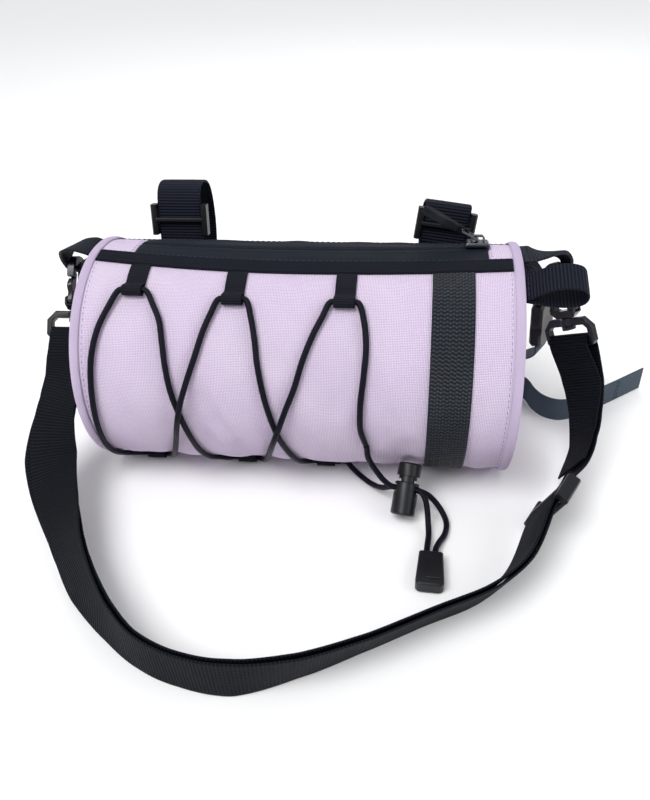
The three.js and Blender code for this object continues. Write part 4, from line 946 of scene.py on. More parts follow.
@dataclass
class Lacing:
    """The elastic cord: laced over the front, then two free ends through the cord lock."""

    diameter: float = 0.003
    tab_width: float = 0.010
    tab_reach: tuple[float, float] = (0.0195, 0.024)
    eye: float = 0.00265
    in_eye: float = 1.15
    crossing_lift: float = 3.5
    tabs: tuple[tuple[str, float, bool], ...] = (
        ("top_tab_1", -78.5, True), ("top_tab_2", -28.5, True), ("top_tab_3", 25.2, True),
        ("bottom_tab_1", -86.5, False), ("bottom_tab_2", -33.0, False), ("bottom_tab_3", 12.0, False),
    )
    lock_crossing: tuple[float, float, float] = (57.5, -58.95, 14.4)
    lock_axis: tuple[float, float, float] = (0.127, 0.688, 0.71)
    lock_strands: tuple[float, float, float] = (0.986, -0.167, -0.015)
    strand_spacing: float = 3.6
    end_lines: tuple[float, ...] = (-7.2, 0.0, 7.2)

    @property
    def radius(self) -> float:
        """Half of the cord's diameter."""
        return self.diameter / 2

    def _eye_rows(self, name: str, direction: int) -> list[tuple[float, float, float]]:
        """Rows that take the cord through the eye of one tab.

        Args:
            name: Name of the tab.
            direction: 1 towards the right end of the barrel, -1 towards the left.

        Returns:
            Place along the barrel, angle and lift of every point.
        """
        _, centre, top = next(tab for tab in self.tabs if tab[0] == name)
        reach = self.tab_reach[0 if top else 1] - self.eye
        if top:
            angle = float(BARREL.strip_low(centre / 1000)) - 2 * HAIR - BARREL.turn(reach)
        else:
            angle = float(BARREL.base_front(centre / 1000)) + HAIR + BARREL.turn(reach)
        width = self.tab_width * 500 + self.radius * 1000
        return [(centre + direction * share * width, angle, self.in_eye) for share in (-1, -0.4, 0.4, 1)]

    def rows(self) -> Array:
        """The laced route as place along the barrel, angle and lift, in millimetres and degrees.

        Returns:
            One row for every point.
        """
        over = self.crossing_lift
        return np.array([
            (36.5, -16, 0), (34.2, -6, 0), (34.2, 8, 0), (35.6, 22, 0), (36.3, 35, 0), (34.9, 46, 0.3),
            *self._eye_rows("top_tab_3", -1),
            (15.4, 48, 0.3), (11, 39, 0), (6.7, 28, 0), (2.6, 15, 0), (-2, 4, 0.6), (-5.6, -5, 2.6),
            (-8.3, -11.5, over), (-11, -19, 2.6), (-13.6, -28, 0.6), (-17, -40, 0), (-20.4, -51, 0),
            (-24, -59, 0.8),
            *self._eye_rows("bottom_tab_2", -1),
            (-42, -59, 0.8), (-46, -52, 0), (-49, -43, 0), (-51.3, -30, 0), (-53.2, -14, 0), (-55.6, -1, 0),
            (-58.4, 11.5, 0), (-60.2, 23.5, 0), (-61.6, 34, 0), (-63.6, 44, 0), (-67.2, 51, 0.3),
            *self._eye_rows("top_tab_1", -1),
            (-89.6, 50, 0.3), (-94.2, 39, 0), (-97, 27, 0), (-98.3, 15, 0), (-99.3, 3, 0), (-100.6, -12, 0),
            (-102, -28, 0), (-102.4, -42, 0), (-100.4, -53, 0.1), (-96, -60.5, 0.8),
            *self._eye_rows("bottom_tab_1", 1),
            (-77.4, -60.5, 0.8), (-74, -53.5, 0.1), (-70, -44, 0), (-64.6, -30, 0), (-60.4, -17, 0.6),
            (-57.6, -8, 2.6), (-55.2, 0, over), (-52.7, 8, 2.6), (-49.8, 16.5, 0.6), (-45.3, 28.5, 0),
            (-41.8, 39.5, 0), (-38.6, 47.5, 0.3),
            *self._eye_rows("top_tab_2", 1),
            (-18.8, 46.5, 0.3), (-16.6, 37, 0), (-14.9, 25, 0), (-12.4, 11, 0), (-9.4, -3, 0),
            (-6.4, -16, 0), (-3, -30, 0), (-0.6, -43, 0), (1, -53, 0.1), (3.4, -60, 0.8),
            *self._eye_rows("bottom_tab_3", 1),
            (21, -62.5, 0.9),
        ])

    def route(self) -> Array:
        """Points of the laced route."""
        rows = self.rows()
        return BARREL.point(rows[:, 0] / 1000, rows[:, 1], BARREL.gap + self.radius + rows[:, 2] / 1000)

    def strand_points(self, start: Array, before: Array, level: int,
                      inner: Sequence, outer: Sequence) -> Array:
        """Route of one free end.

        Args:
            start: End point of the laced cord.
            before: The laced cord's point before that one.
            level: Side of the lock's slot that the strand takes.
            inner: Points from the bag to the lock, in millimetres.
            outer: Points from the lock to the cord end, in millimetres.

        Returns:
            The route's points in metres.
        """
        heading = unit(start - before)
        lead = [start + heading * reach for reach in (BARREL.gap, 0.0028)]
        axis, along = unit(np.array(self.lock_axis)), unit(np.array(self.lock_strands))
        depth = np.cross(along - axis * float(along @ axis), axis)
        middle = np.array(self.lock_crossing) + unit(depth) * level * self.strand_spacing / 2
        through = [(middle + along * reach) / 1000 for reach in self.end_lines]
        return np.vstack([lead, np.array(inner) / 1000, through, np.array(outer) / 1000])

    def build(self) -> None:
        finish = CORD.material()
        laced = self.route()
        lacing = tube("lacing", spline(laced, 0.0012), self.radius - 0.00002, finish, 10)
        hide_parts("lacing_cord")

        upper = spline(self.strand_points(
            laced[0], laced[1], 1,
            [(37.5, -57.9, 34.5), (39.6, -57, 28), (42.6, -57, 22.6), (46, -57.9, 18.4)],
            [(67.2, -64.6, 13.2), (68.3, -67.6, 9.6), (69, -72, 5.4), (69.4, -79, 2.8), (68.9, -85, 3.4),
             (68.5, -89.4, 3.9), (68.4, -92.3, 3.9)],
        ), 0.001)
        lower = spline(self.strand_points(
            laced[-1], laced[-2], -1,
            [(27.6, -32.4, 2.9), (33, -38, 2.2), (39.4, -45.6, 4), (45.2, -52.6, 8.6)],
            [(69, -59.4, 11), (73, -60.4, 7), (76.4, -63.4, 3.4), (78.4, -69.4, 2), (77.4, -77.4, 2.2),
             (74.4, -84.4, 3.2), (72.8, -89.4, 3.9), (72.6, -92.3, 3.9)],
        ), 0.001)
        strand_a = tube("strand_upper", upper, self.radius, finish)
        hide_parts("cord_strand_a")
        strand_b = tube("strand_lower", lower, self.radius, finish)
        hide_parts("cord_strand_b")
        LOG.info("strands: %.4f and %.4f m", lengths_along(upper)[-1], lengths_along(lower)[-1])


# Webbing that hangs free of the barrel


@dataclass
class BandPath:
    """The middle line of a strap, with its directions across and through, from the frame's own solid."""

    node: str
    step: float = 0.0004
    rows: Array = field(init=False)

    def __post_init__(self) -> None:
        """Reads the strap's corners ring by ring and runs a smooth line through them."""
        rings = self._rings()
        centre = rings.mean(axis=1)
        across = (rings[:, 1] + rings[:, 2] - rings[:, 0] - rings[:, 3]) / 4
        through = (rings[:, 2] + rings[:, 3] - rings[:, 0] - rings[:, 1]) / 4
        self.rows = spline(np.hstack([centre, across, through]), self.step)

    def _rings(self) -> Array:
        """The solid's rings of four corners, in order along the strap.

        Returns:
            The rings, their corners, and X, Y and Z.
        """
        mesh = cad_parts[self.node].data
        spots = np.array([vertex.co for vertex in mesh.vertices])
        places, same = np.unique(spots, axis=0, return_inverse=True)
        same = same.ravel()
        near: list[set[int]] = [set() for _ in places]
        for face in mesh.polygons:
            corners = [int(same[i]) for i in face.vertices]
            for a, b in itertools.permutations(corners, 2):
                if a != b:
                    near[a].add(b)
        end = self._layers(near, [0])[-1][0]
        around = sorted({b for a in near[end] for b in near[a]} | near[end] - {end})
        for others in itertools.combinations([corner for corner in around if corner != end], 3):
            layers = self._layers(near, [end, *others])
            if len(layers) * 4 == len(places) and all(len(layer) == 4 for layer in layers):
                return self._ordered(places, layers)
        raise ValueError(f"{self.node} is not a plain band")

    @staticmethod
    def _layers(near: list[set[int]], start: list[int]) -> list[list[int]]:
        """Corners grouped by their distance from a first group.

        Args:
            near: Neighbours of every corner.
            start: The first group.

        Returns:
            The groups, in order.
        """
        seen, layers = set(start), [list(start)]
        while True:
            fresh = sorted({b for a in layers[-1] for b in near[a]} - seen)
            if not fresh:
                return layers
            seen.update(fresh)
            layers.append(fresh)

    @staticmethod
    def _ordered(places: Array, layers: list[list[int]]) -> Array:
        """Gives every ring the same corner first.

        Args:
            places: The corners' places.
            layers: The corners of every ring.

        Returns:
            The rings with their corners in the same order.
        """
        ring = places[layers[0]]
        order = np.argsort(np.linalg.norm(ring - ring[0], axis=1))
        ring = ring[[order[0], order[2], order[3], order[1]]]
        rings = [ring]
        for layer in layers[1:]:
            found = places[layer]
            shift = found - found.mean(axis=0)
            held = ring - ring.mean(axis=0)
            best = min(itertools.permutations(range(4)),
                       key=lambda order: float(((shift[list(order)] - held) ** 2).sum()))
            ring = found[list(best)]
            rings.append(ring)
        return np.array(rings)

    @property
    def length(self) -> float:
        """Length of the middle line."""
        return float(lengths_along(self.rows)[-1])

    def surface(self, along: Array, across: Array, face: int) -> tuple[Array, Array]:
        """Points and outward directions on one face of the strap.

        Args:
            along: Distances along the strap.
            across: Shares of the half width, from -1 to 1.
            face: 1 or -1 for the two faces.

        Returns:
            The points and the directions.
        """
        reach = lengths_along(self.rows)
        held = np.stack([np.interp(along, reach, column) for column in self.rows.T], axis=1)
        side, through = held[:, 3:6], held[:, 6:9] * face
        return held[:, :3] + side * np.asarray(across)[:, None] + through, unit(through)

    def row_across(self, at: float, span: float, face: int) -> tuple[Array, Array]:
        """A line across the strap on one face, for stitches."""
        shares = np.linspace(-span, span, 12)
        return self.surface(np.full(12, at), shares, face)

    def row_along(self, start: float, end: float, across: float, face: int) -> tuple[Array, Array]:
        """A line along the strap on one face, for stitches."""
        spots = np.linspace(start, end, 24)
        return self.surface(spots, np.full(24, across), face)


@dataclass
class Strap:
    """A woven strap with ribs, a rounded edge and a slightly thinner selvedge."""

    name: str
    node: str
    finish: Webbing
    slot: str
    relief: float = 0.2
    ribs_per_step: int = 4
    columns: tuple[tuple[float, float], ...] = (
        (-1.0, 0.3), (-0.985, 0.72), (-0.94, 0.95), (-0.84, 0.9), (-0.45, 1.0), (0.0, 1.0),
        (0.45, 1.0), (0.84, 0.9), (0.94, 0.95), (0.985, 0.72), (1.0, 0.3),
    )

    def build(self) -> BandPath:
        """Makes the strap in place of its solid.

        Returns:
            The strap's path, for stitches.
        """
        path = BandPath(self.node, self.finish.rib / self.ribs_per_step)
        rows = path.rows
        reach = lengths_along(rows)
        shares = np.array([share for share, _ in self.columns])
        full = np.array([height for _, height in self.columns])
        wave = 0.5 + 0.5 * np.cos(2 * np.pi * reach / self.finish.rib)
        fade = np.clip((1 - np.abs(shares)) / 0.12, 0, 1)
        height = full[None, :] * (1 - self.relief * wave[:, None] * fade[None, :])
        centre, across, through = rows[:, None, 0:3], rows[:, None, 3:6], rows[:, None, 6:9]
        upper = centre + across * shares[None, :, None] + through * height[..., None]
        lower = centre + across * shares[None, :, None] - through * height[..., None]
        rings = np.concatenate([upper, lower[:, ::-1]], axis=1)
        wide = np.linalg.norm(rows[:, 3:6], axis=1)[:, None] * shares[None, :]
        sheet = np.stack(np.broadcast_arrays(reach[:, None], wide), axis=-1)
        cloth = np.concatenate([sheet, sheet[:, ::-1]], axis=1)
        piece = mesh_piece(self.name, rings, cloth, self.finish.material())
        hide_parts(self.node)
        return path


# Pieces that lie on the barrel


@dataclass
class Wrap:
    """A sheet that lies on the barrel between two seams, thick enough to be a solid."""

    name: str
    nodes: tuple[str, ...]
    span: tuple[float, float]
    low: Relief
    high: Relief
    inner: float
    outer: float
    finish: Finish
    slot: str
    step: tuple[float, float] = (0.0015, 0.0015)
    relief: Optional[Callable[[Array, Array, Array, Array], Array]] = None
    edge_round: float = 0.0006
    turned: bool = False

    def grid(self) -> tuple[Array, Array, Array, Array]:
        """Places along, angles, and shares across both ways of the sheet's points.

        Returns:
            Four arrays of one shape.
        """
        count = max(4, int(round((self.span[1] - self.span[0]) / self.step[0])) + 1)
        x = np.linspace(*self.span, count)
        low, high = self.low(x), self.high(x)
        rows = max(4, int(round(math.radians(float(np.max(high - low))) * BARREL.radius / self.step[1])) + 1)
        share = np.linspace(0, 1, rows)
        angle = low[:, None] + (high - low)[:, None] * share[None, :]
        along = np.repeat(x[:, None], rows, axis=1)
        share_x = np.repeat(np.linspace(0, 1, count)[:, None], rows, axis=1)
        return along, angle, share_x, np.repeat(share[None], count, axis=0)

    def build(self, height: Optional[Array] = None) -> bpy.types.Object:
        """Makes the piece.

        Args:
            height: Heights of the outer face over its plain level, or None.

        Returns:
            The new object.
        """
        along, angle, share_x, share_a = self.grid()
        lift = np.zeros_like(along) if height is None else height
        if self.relief is not None:
            lift = lift + self.relief(along, angle, share_x, share_a)
        length = self.span[1] - self.span[0]
        width = np.radians(angle[:, -1:] - angle[:, :1]) * BARREL.radius
        edge = np.minimum(np.minimum(share_x, 1 - share_x) * length, np.minimum(share_a, 1 - share_a) * width)
        rounded = np.clip(edge / self.edge_round, 0, 1)
        thick = self.outer - self.inner
        lift = lift - min(self.edge_round, thick * 0.45) * (1 - np.sqrt(1 - (1 - rounded) ** 2))
        outer = BARREL.point(along, angle, self.outer + lift)
        inner = BARREL.point(along, angle, self.inner)
        rings = np.concatenate([outer, inner[:, ::-1]], axis=1)
        sheet = np.stack([along, np.radians(angle) * BARREL.radius], axis=-1)
        if self.turned:
            sheet = sheet[..., ::-1]
        cloth = np.concatenate([sheet, sheet[:, ::-1]], axis=1)
        piece = mesh_piece(self.name, rings, cloth, self.finish.material())
        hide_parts(*self.nodes)
        return piece


def shifted(line: Relief, hairs: float) -> Relief:
    """A seam moved by a number of clearances."""
    return lambda x: line(x) + hairs * HAIR


@dataclass
class ClothRun:
    """Lets a sewn panel settle: its seams stay, and the cloth between them takes up its slack."""

    fullness: float = 0.012
    pressure: float = 1.2
    frames: int = 18

    def settle(self, points: Array, pinned: Array) -> Array:
        """Runs the simulation.

        Args:
            points: The panel's grid of points.
            pinned: Which of them are sewn down.

        Returns:
            The grid after settling.
        """
        count, size = points.shape[:2]
        index = np.arange(count * size).reshape(count, size)
        faces = np.stack([index[:-1, :-1], index[1:, :-1], index[1:, 1:], index[:-1, 1:]], -1).reshape(-1, 4)
        mesh = bpy.data.meshes.new("settling")
        mesh.from_pydata(points.reshape(-1, 3).tolist(), [], faces.tolist())
        sheet = bpy.data.objects.new("settling", mesh)
        scene = bpy.context.scene
        scene.collection.objects.link(sheet)
        sewn = sheet.vertex_groups.new(name="sewn")
        sewn.add([int(i) for i in index[pinned]], 1.0, "REPLACE")
        cloth = sheet.modifiers.new("cloth", "CLOTH")
        cloth.settings.vertex_group_mass = "sewn"
        cloth.settings.quality = 6
        cloth.settings.mass = 0.15
        cloth.settings.tension_stiffness = 20
        cloth.settings.compression_stiffness = 20
        cloth.settings.shear_stiffness = 8
        cloth.settings.bending_stiffness = 1.5
        cloth.settings.shrink_min = -self.fullness
        cloth.settings.use_pressure = True
        cloth.settings.uniform_pressure_force = self.pressure
        cloth.settings.effector_weights.gravity = 0
        cloth.collision_settings.use_collision = False
        cloth.point_cache.frame_start, cloth.point_cache.frame_end = 1, self.frames
        for number in range(1, self.frames + 1):
            scene.frame_set(number)
        evaluated = sheet.evaluated_get(bpy.context.evaluated_depsgraph_get())
        moved = np.array([vertex.co for vertex in evaluated.data.vertices]).reshape(points.shape)
        bpy.data.objects.remove(sheet)
        scene.frame_set(1)
        return moved


@dataclass
class Shell:
    """The barrel's canvas: front and rear panels, zip patches, ends and pipings."""

    front_step: float = 0.0014
    rear_step: float = 0.002
    run_step: float = 0.0042
    slack: float = 0.0011
    dent: float = 0.00035
    dent_width: float = 0.0026
    cord_clearing: float = 0.006
    puff: float = 0.0006
    puff_width: float = 0.011
    bar_strap_places: tuple[float, float] = (-0.077, 0.0715)
    bar_strap_half: float = 0.0135
    bar_strap_angles: tuple[float, float] = (138, 185)
    easing: float = 0.009
    height_limit: float = 0.0013
    foam_fill: float = 0.7
    creases: tuple[tuple[float, float, float, float, float, float], ...] = (
        (-46, 12, -22, -34, 3.2, -0.42), (-38, 16, -12, -30, 4.0, 0.34), (-50, -8, -30, -46, 3.0, -0.3),
        (-6, 14, 14, -34, 3.4, -0.36), (4, 18, 28, -26, 4.2, 0.3), (-92, 20, -70, -30, 3.6, -0.26),
        (38, 24, 58, -20, 4.4, -0.3), (46, -6, 62, -44, 3.6, -0.34), (90, 50, 104, -10, 4.0, -0.2),
        (-74, -20, -44, -34, 3.0, -0.24), (88, -14, 106, -52, 4.4, 0.4), (20, -40, 60, -52, 3.4, -0.28),
    )
    rim_steps: int = 180
    rim_ripple: float = 0.00022
    end_wave: float = 0.0003
    rim_pucker: float = 0.00014
    pucker_length: float = 0.0032

    def _soft_height(self, wrap: Wrap, seed: int) -> Array:
        """Heights of a settled panel, from a cloth run on a coarser grid.

        Args:
            wrap: The panel.
            seed: Start of the small unevenness that lets the slack find its folds.

        Returns:
            Heights on the panel's own grid.
        """
        along, angle, share_x, share_a = wrap.grid()
        coarse = Wrap(**{**wrap.__dict__, "step": (self.run_step, self.run_step)})
        rough_x, rough_a, _, _ = coarse.grid()
        uneven = np.random.default_rng(seed).normal(0, 0.00012, rough_x.shape)
        start = BARREL.point(rough_x, rough_a, uneven)
        pinned = np.zeros(rough_x.shape, bool)
        pinned[[0, -1], :] = True
        pinned[:, [0, -1]] = True
        moved = ClothRun().settle(start, pinned)
        reach = np.hypot(moved[..., 1], moved[..., 2] - BARREL.axis_height)
        plain = np.hypot(start[..., 1], start[..., 2] - BARREL.axis_height)
        rise = np.clip(reach - plain, -self.slack, self.slack)
        return self._resampled(rise, share_x, share_a)

    @staticmethod
    def _resampled(values: Array, share_x: Array, share_a: Array) -> Array:
        """Smoothly reads a coarse grid at finer places.

        Args:
            values: The coarse grid.
            share_x: Shares along the barrel, from 0 to 1.
            share_a: Shares round the barrel, from 0 to 1.

        Returns:
            The values at those shares.
        """
        for axis in (0, 1):
            padded = np.concatenate([values.take([0], axis), values, values.take([-1], axis)], axis)
            front, back = padded.take(range(2, padded.shape[axis]), axis), padded.take(
                range(padded.shape[axis] - 2), axis)
            values = 0.5 * values + 0.25 * (front + back)
        rows, columns = values.shape
        u, v = share_x * (rows - 1), share_a * (columns - 1)
        i, j = np.minimum(u.astype(int), rows - 2), np.minimum(v.astype(int), columns - 2)
        s, t = u - i, v - j
        s, t = s * s * (3 - 2 * s), t * t * (3 - 2 * t)
        return ((values[i, j] * (1 - s) + values[i + 1, j] * s) * (1 - t)
                + (values[i, j + 1] * (1 - s) + values[i + 1, j + 1] * s) * t)

    def _creases(self, along: Array, angle: Array) -> Array:
        """Long soft creases, each between two places on the panel.

        Args:
            along: Places along the barrel.
            angle: Angles round the barrel.

        Returns:
            Heights in metres.
        """
        arc = np.radians(angle) * BARREL.radius
        total = np.zeros_like(along)
        for x0, a0, x1, a1, width, height in self.creases:
            start = np.array([x0 / 1000, math.radians(a0) * BARREL.radius])
            run = np.array([x1 / 1000, math.radians(a1) * BARREL.radius]) - start
            size = float(run @ run)
            share = np.clip(((along - start[0]) * run[0] + (arc - start[1]) * run[1]) / size, 0, 1)
            off = np.hypot(along - start[0] - share * run[0], arc - start[1] - share * run[1])
            ends = np.sin(np.pi * np.clip(share, 0.0, 1.0)) ** 0.6
            total += 3.6 * height / 1000 * ends * np.exp(-((off * 1000 / width) ** 2))
        return total

    def front(self, lacing: Lacing) -> None:
        """Makes the lilac front panel, pressed in by the cord and held by webbing and tabs.

        Args:
            lacing: The laced cord, which knows its route and tabs.
        """
        wrap = Wrap(
            "front_cover", ("front_panel",), (-BARREL.shell_half, BARREL.shell_half), BARREL.base_front,
            shifted(BARREL.strip_top, -1), -BARREL.wall, 0.0, LILAC, "lilac_canvas",
            (self.front_step, self.front_step), edge_round=0.0004)
        along, angle, share_x, share_a = wrap.grid()
        arc = np.radians(angle) * BARREL.radius
        rows = lacing.rows()
        line = spline(np.stack([
            rows[:, 0] / 1000, np.radians(rows[:, 1]) * BARREL.radius, rows[:, 2] / 1000], axis=1), 0.001)
        spots = np.stack([along.ravel(), arc.ravel()], axis=1)
        press = np.full(len(spots), 1.0)
        for start in range(0, len(spots), 4000):
            part = spots[start:start + 4000]
            far = np.linalg.norm(part[:, None] - line[None, :, :2], axis=2) + line[None, :, 2] * 1.5
            press[start:start + 4000] = far.min(axis=1)
        press = press.reshape(along.shape)
        free = self._free(along, angle, lacing)
        height = self._soft_height(wrap, 7) + self._creases(along, angle)
        height += self.puff * (1 - np.exp(-((press / self.puff_width) ** 2)))
        clear = 1 - np.exp(-((press / self.cord_clearing) ** 2))
        height = np.clip(height, -self.height_limit, self.height_limit) * free * clear
        height -= self.dent * np.exp(-((press / self.dent_width) ** 2))
        cover = wrap.build(height)

    def _free(self, along: Array, angle: Array, lacing: Lacing) -> Array:
        """How freely the cloth may stand out, from 0 under sewn-on pieces to 1.

        Args:
            along: Places along the barrel.
            angle: Angles round the barrel.
            lacing: The laced cord, which knows its route and tabs.

        Returns:
            Shares from 0 to 1.
        """
        arc = np.radians(angle) * BARREL.radius

        def away(x_span: tuple[float, float], arc_span: tuple[Array, Array]) -> Array:
            """Distance from a patch of the panel between two places and two arcs.

            Args:
                x_span: Its ends along the barrel.
                arc_span: Its lower and upper borders.

            Returns:
                The distances, 0 inside the patch.
            """
            side = np.maximum(np.maximum(x_span[0] - along, along - x_span[1]), 0)
            rise = np.maximum(np.maximum(arc_span[0] - arc, arc - arc_span[1]), 0)
            return np.hypot(side, rise)

        def arc_of(line: Relief) -> Array:
            """Arc of a seam at every point of the panel."""
            return np.radians(line(along)) * BARREL.radius

        low, high = arc_of(BARREL.strip_low), arc_of(BARREL.strip_top)
        near = away((-1, 1), (low, high))
        near = np.minimum(near, away(BARREL.webbing_span, (arc_of(BARREL.base_front), high)))
        lowest = arc.min(axis=1, keepdims=True)
        near = np.minimum(near, away((-1, 1), (lowest, lowest + 0.001)))
        near = np.minimum(near, np.maximum(BARREL.shell_half - 0.0036 - np.abs(along), 0))
        for _, centre, top in lacing.tabs:
            span = (centre / 1000 - lacing.tab_width / 2, centre / 1000 + lacing.tab_width / 2)
            reach = lacing.tab_reach[0 if top else 1]
            start = low if top else arc_of(BARREL.base_front)
            tab = (start - reach, start) if top else (start, start + reach)
            near = np.minimum(near, away(span, tab))
        share = np.clip(near / self.easing, 0, 1)
        return share * share * (3 - 2 * share)

    def rear(self) -> None:
        """Makes the black rear panel."""
        wrap = Wrap(
            "rear_cover", ("rear_panel",), (-BARREL.shell_half, BARREL.shell_half),
            shifted(BARREL.rear_edge, 1), BARREL.base_rear, -BARREL.wall, 0.0, BLACK_CANVAS, "black_canvas",
            (self.rear_step, self.rear_step), edge_round=0.0004)
        along, angle, share_x, share_a = wrap.grid()
        border = np.minimum(np.minimum(share_x, 1 - share_x) * 0.21, np.minimum(share_a, 1 - share_a) * 0.15)
        sewn = np.ones_like(along)
        low, high = self.bar_strap_angles
        for centre in self.bar_strap_places:
            side = np.maximum(np.abs(along - centre) - self.bar_strap_half, 0)
            rise = np.maximum(np.maximum(low - angle, angle - high), 0) * math.radians(1) * BARREL.radius
            sewn = np.minimum(sewn, np.clip(np.hypot(side, rise) / self.easing, 0, 1))
        height = self._soft_height(wrap, 11) * np.clip(border / 0.012, 0, 1) * sewn
        cover = wrap.build(height)

    def patches(self) -> None:
        """Makes the two lilac patches past the zip's ends."""
        for side in Side:
            if side is Side.LEFT:
                span = (-BARREL.shell_half, BARREL.zip_span[0] - BARREL.gap)
            else:
                span = (BARREL.zip_span[1] + BARREL.gap, BARREL.shell_half)
            Wrap(f"zip_patch_{side.word}", (f"zip_end_patch_{side.word}",), span, BARREL.strip_top,
                 BARREL.rear_edge, -BARREL.wall, 0.0, LILAC, "lilac_canvas", (0.001, 0.001),
                 relief=self._patch_relief).build()

    @staticmethod
    def _patch_relief(along: Array, angle: Array, share_x: Array, share_a: Array) -> Array:
        """A slight puff in the middle of a patch and a pucker along its seams.

        Args:
            along: Places along the barrel.
            angle: Angles round the barrel; not used.
            share_x: Shares along the barrel, from 0 to 1.
            share_a: Shares round the barrel, from 0 to 1.

        Returns:
            Heights in metres.
        """
        puff = 0.0004 * np.sin(np.pi * share_x) * np.sin(np.pi * share_a)
        near_seam = np.exp(-np.minimum(share_a, 1 - share_a) * 12)
        pucker = 0.00012 * np.cos(along * 2 * np.pi / 0.0041) * near_seam
        return puff + pucker - 0.0001

    def ends(self) -> None:
        """Makes the two round end panels, crowned and slightly rippled towards the rim."""
        angles = self._rim_angles()
        shares = np.array([1.0, 0.99, 0.975, 0.95, 0.91, 0.86, 0.8, 0.72, 0.62, 0.5, 0.36, 0.22, 0.1, 0.03])
        crown = np.array([0.0, 0.12, 0.3, 0.36, 0.44, 0.55, 0.64, 0.74, 0.83, 0.9, 0.95, 0.98, 1.0, 1.0])
        for side in Side:
            rim = BARREL.point(np.zeros_like(angles), angles)
            middle = np.array([0, 0, BARREL.axis_height])
            rings, cloth = [], []
            start = rim.copy()
            start[:, 0] = side.value * (BARREL.shell_half + BARREL.gap)
            rings.append(start)
            cloth.append(start[:, 1:])
            for share, rise in zip(shares, crown):
                ring = middle + (rim - middle) * share
                near_rim = np.exp(-((share - 0.94) / 0.05) ** 2)
                ripple = self.rim_ripple * np.sin(np.radians(angles) * 23 + 1.3 * side.value) * near_rim
                soft = self.end_wave * np.sin(np.radians(angles) * 3 + 0.8) * np.sin(np.pi * share)
                bulge = BARREL.end_crown * 0.9 * rise + ripple - abs(soft)
                ring[:, 0] = side.value * (BARREL.end_face + bulge)
                rings.append(ring)
                cloth.append(ring[:, 1:])
            piece = mesh_piece(f"end_cover_{side.word}", np.array(rings), np.array(cloth), LILAC.material())
            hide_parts(f"end_panel_{side.word}")

    def _rim_angles(self) -> Array:
        """Angles round a rim, with the corners of the flat base among them."""
        corner = math.degrees(math.asin(1 - BARREL.base_sag / BARREL.radius))
        return np.linspace(-corner, 180 + corner, self.rim_steps + 1)

    def pipings(self) -> None:
        """Makes the pipings: a rolled strip of canvas over each rim, with its puckers."""
        angles = self._rim_angles()
        section = [(0.0, 0.0), (0.0, 0.35), (0.1, 0.62), (0.24, 0.84), (0.4, 0.97), (0.55, 1.0), (0.72, 0.96),
                   (0.86, 0.8), (0.96, 0.5), (1.0, 0.2), (1.0, 0.0), (0.5, 0.0)]
        arc = np.radians(angles) * BARREL.radius
        pucker = 0.5 + 0.5 * np.cos(arc * 2 * np.pi / self.pucker_length)
        for side in Side:
            edge = BARREL.end_face + BARREL.gap
            columns, marks = [], []
            for along, height in section:
                dip = self.rim_pucker * pucker * (height > 0.3) * (1 - along)
                x = side.value * (edge - BARREL.piping_width * (1 - along))
                columns.append(BARREL.point(np.full_like(angles, x), angles,
                                            BARREL.gap + height * BARREL.piping_height - dip))
                lay = along * BARREL.piping_width
                marks.append(np.stack([(arc + lay) / math.sqrt(2), (arc - lay) / math.sqrt(2)], axis=-1))
            piece = mesh_piece(f"rim_piping_{side.word}", np.stack(columns, axis=1), np.stack(marks, axis=1),
                               LILAC_BIAS.material(), looped=True)
            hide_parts(f"piping_{side.word}")

    def build(self, lacing: Lacing) -> None:
        """Makes every canvas piece.

        Args:
            lacing: The laced cord, which knows its route and tabs.
        """
        self.front(lacing)
        self.rear()
        self.patches()
        self.ends()
        self.pipings()


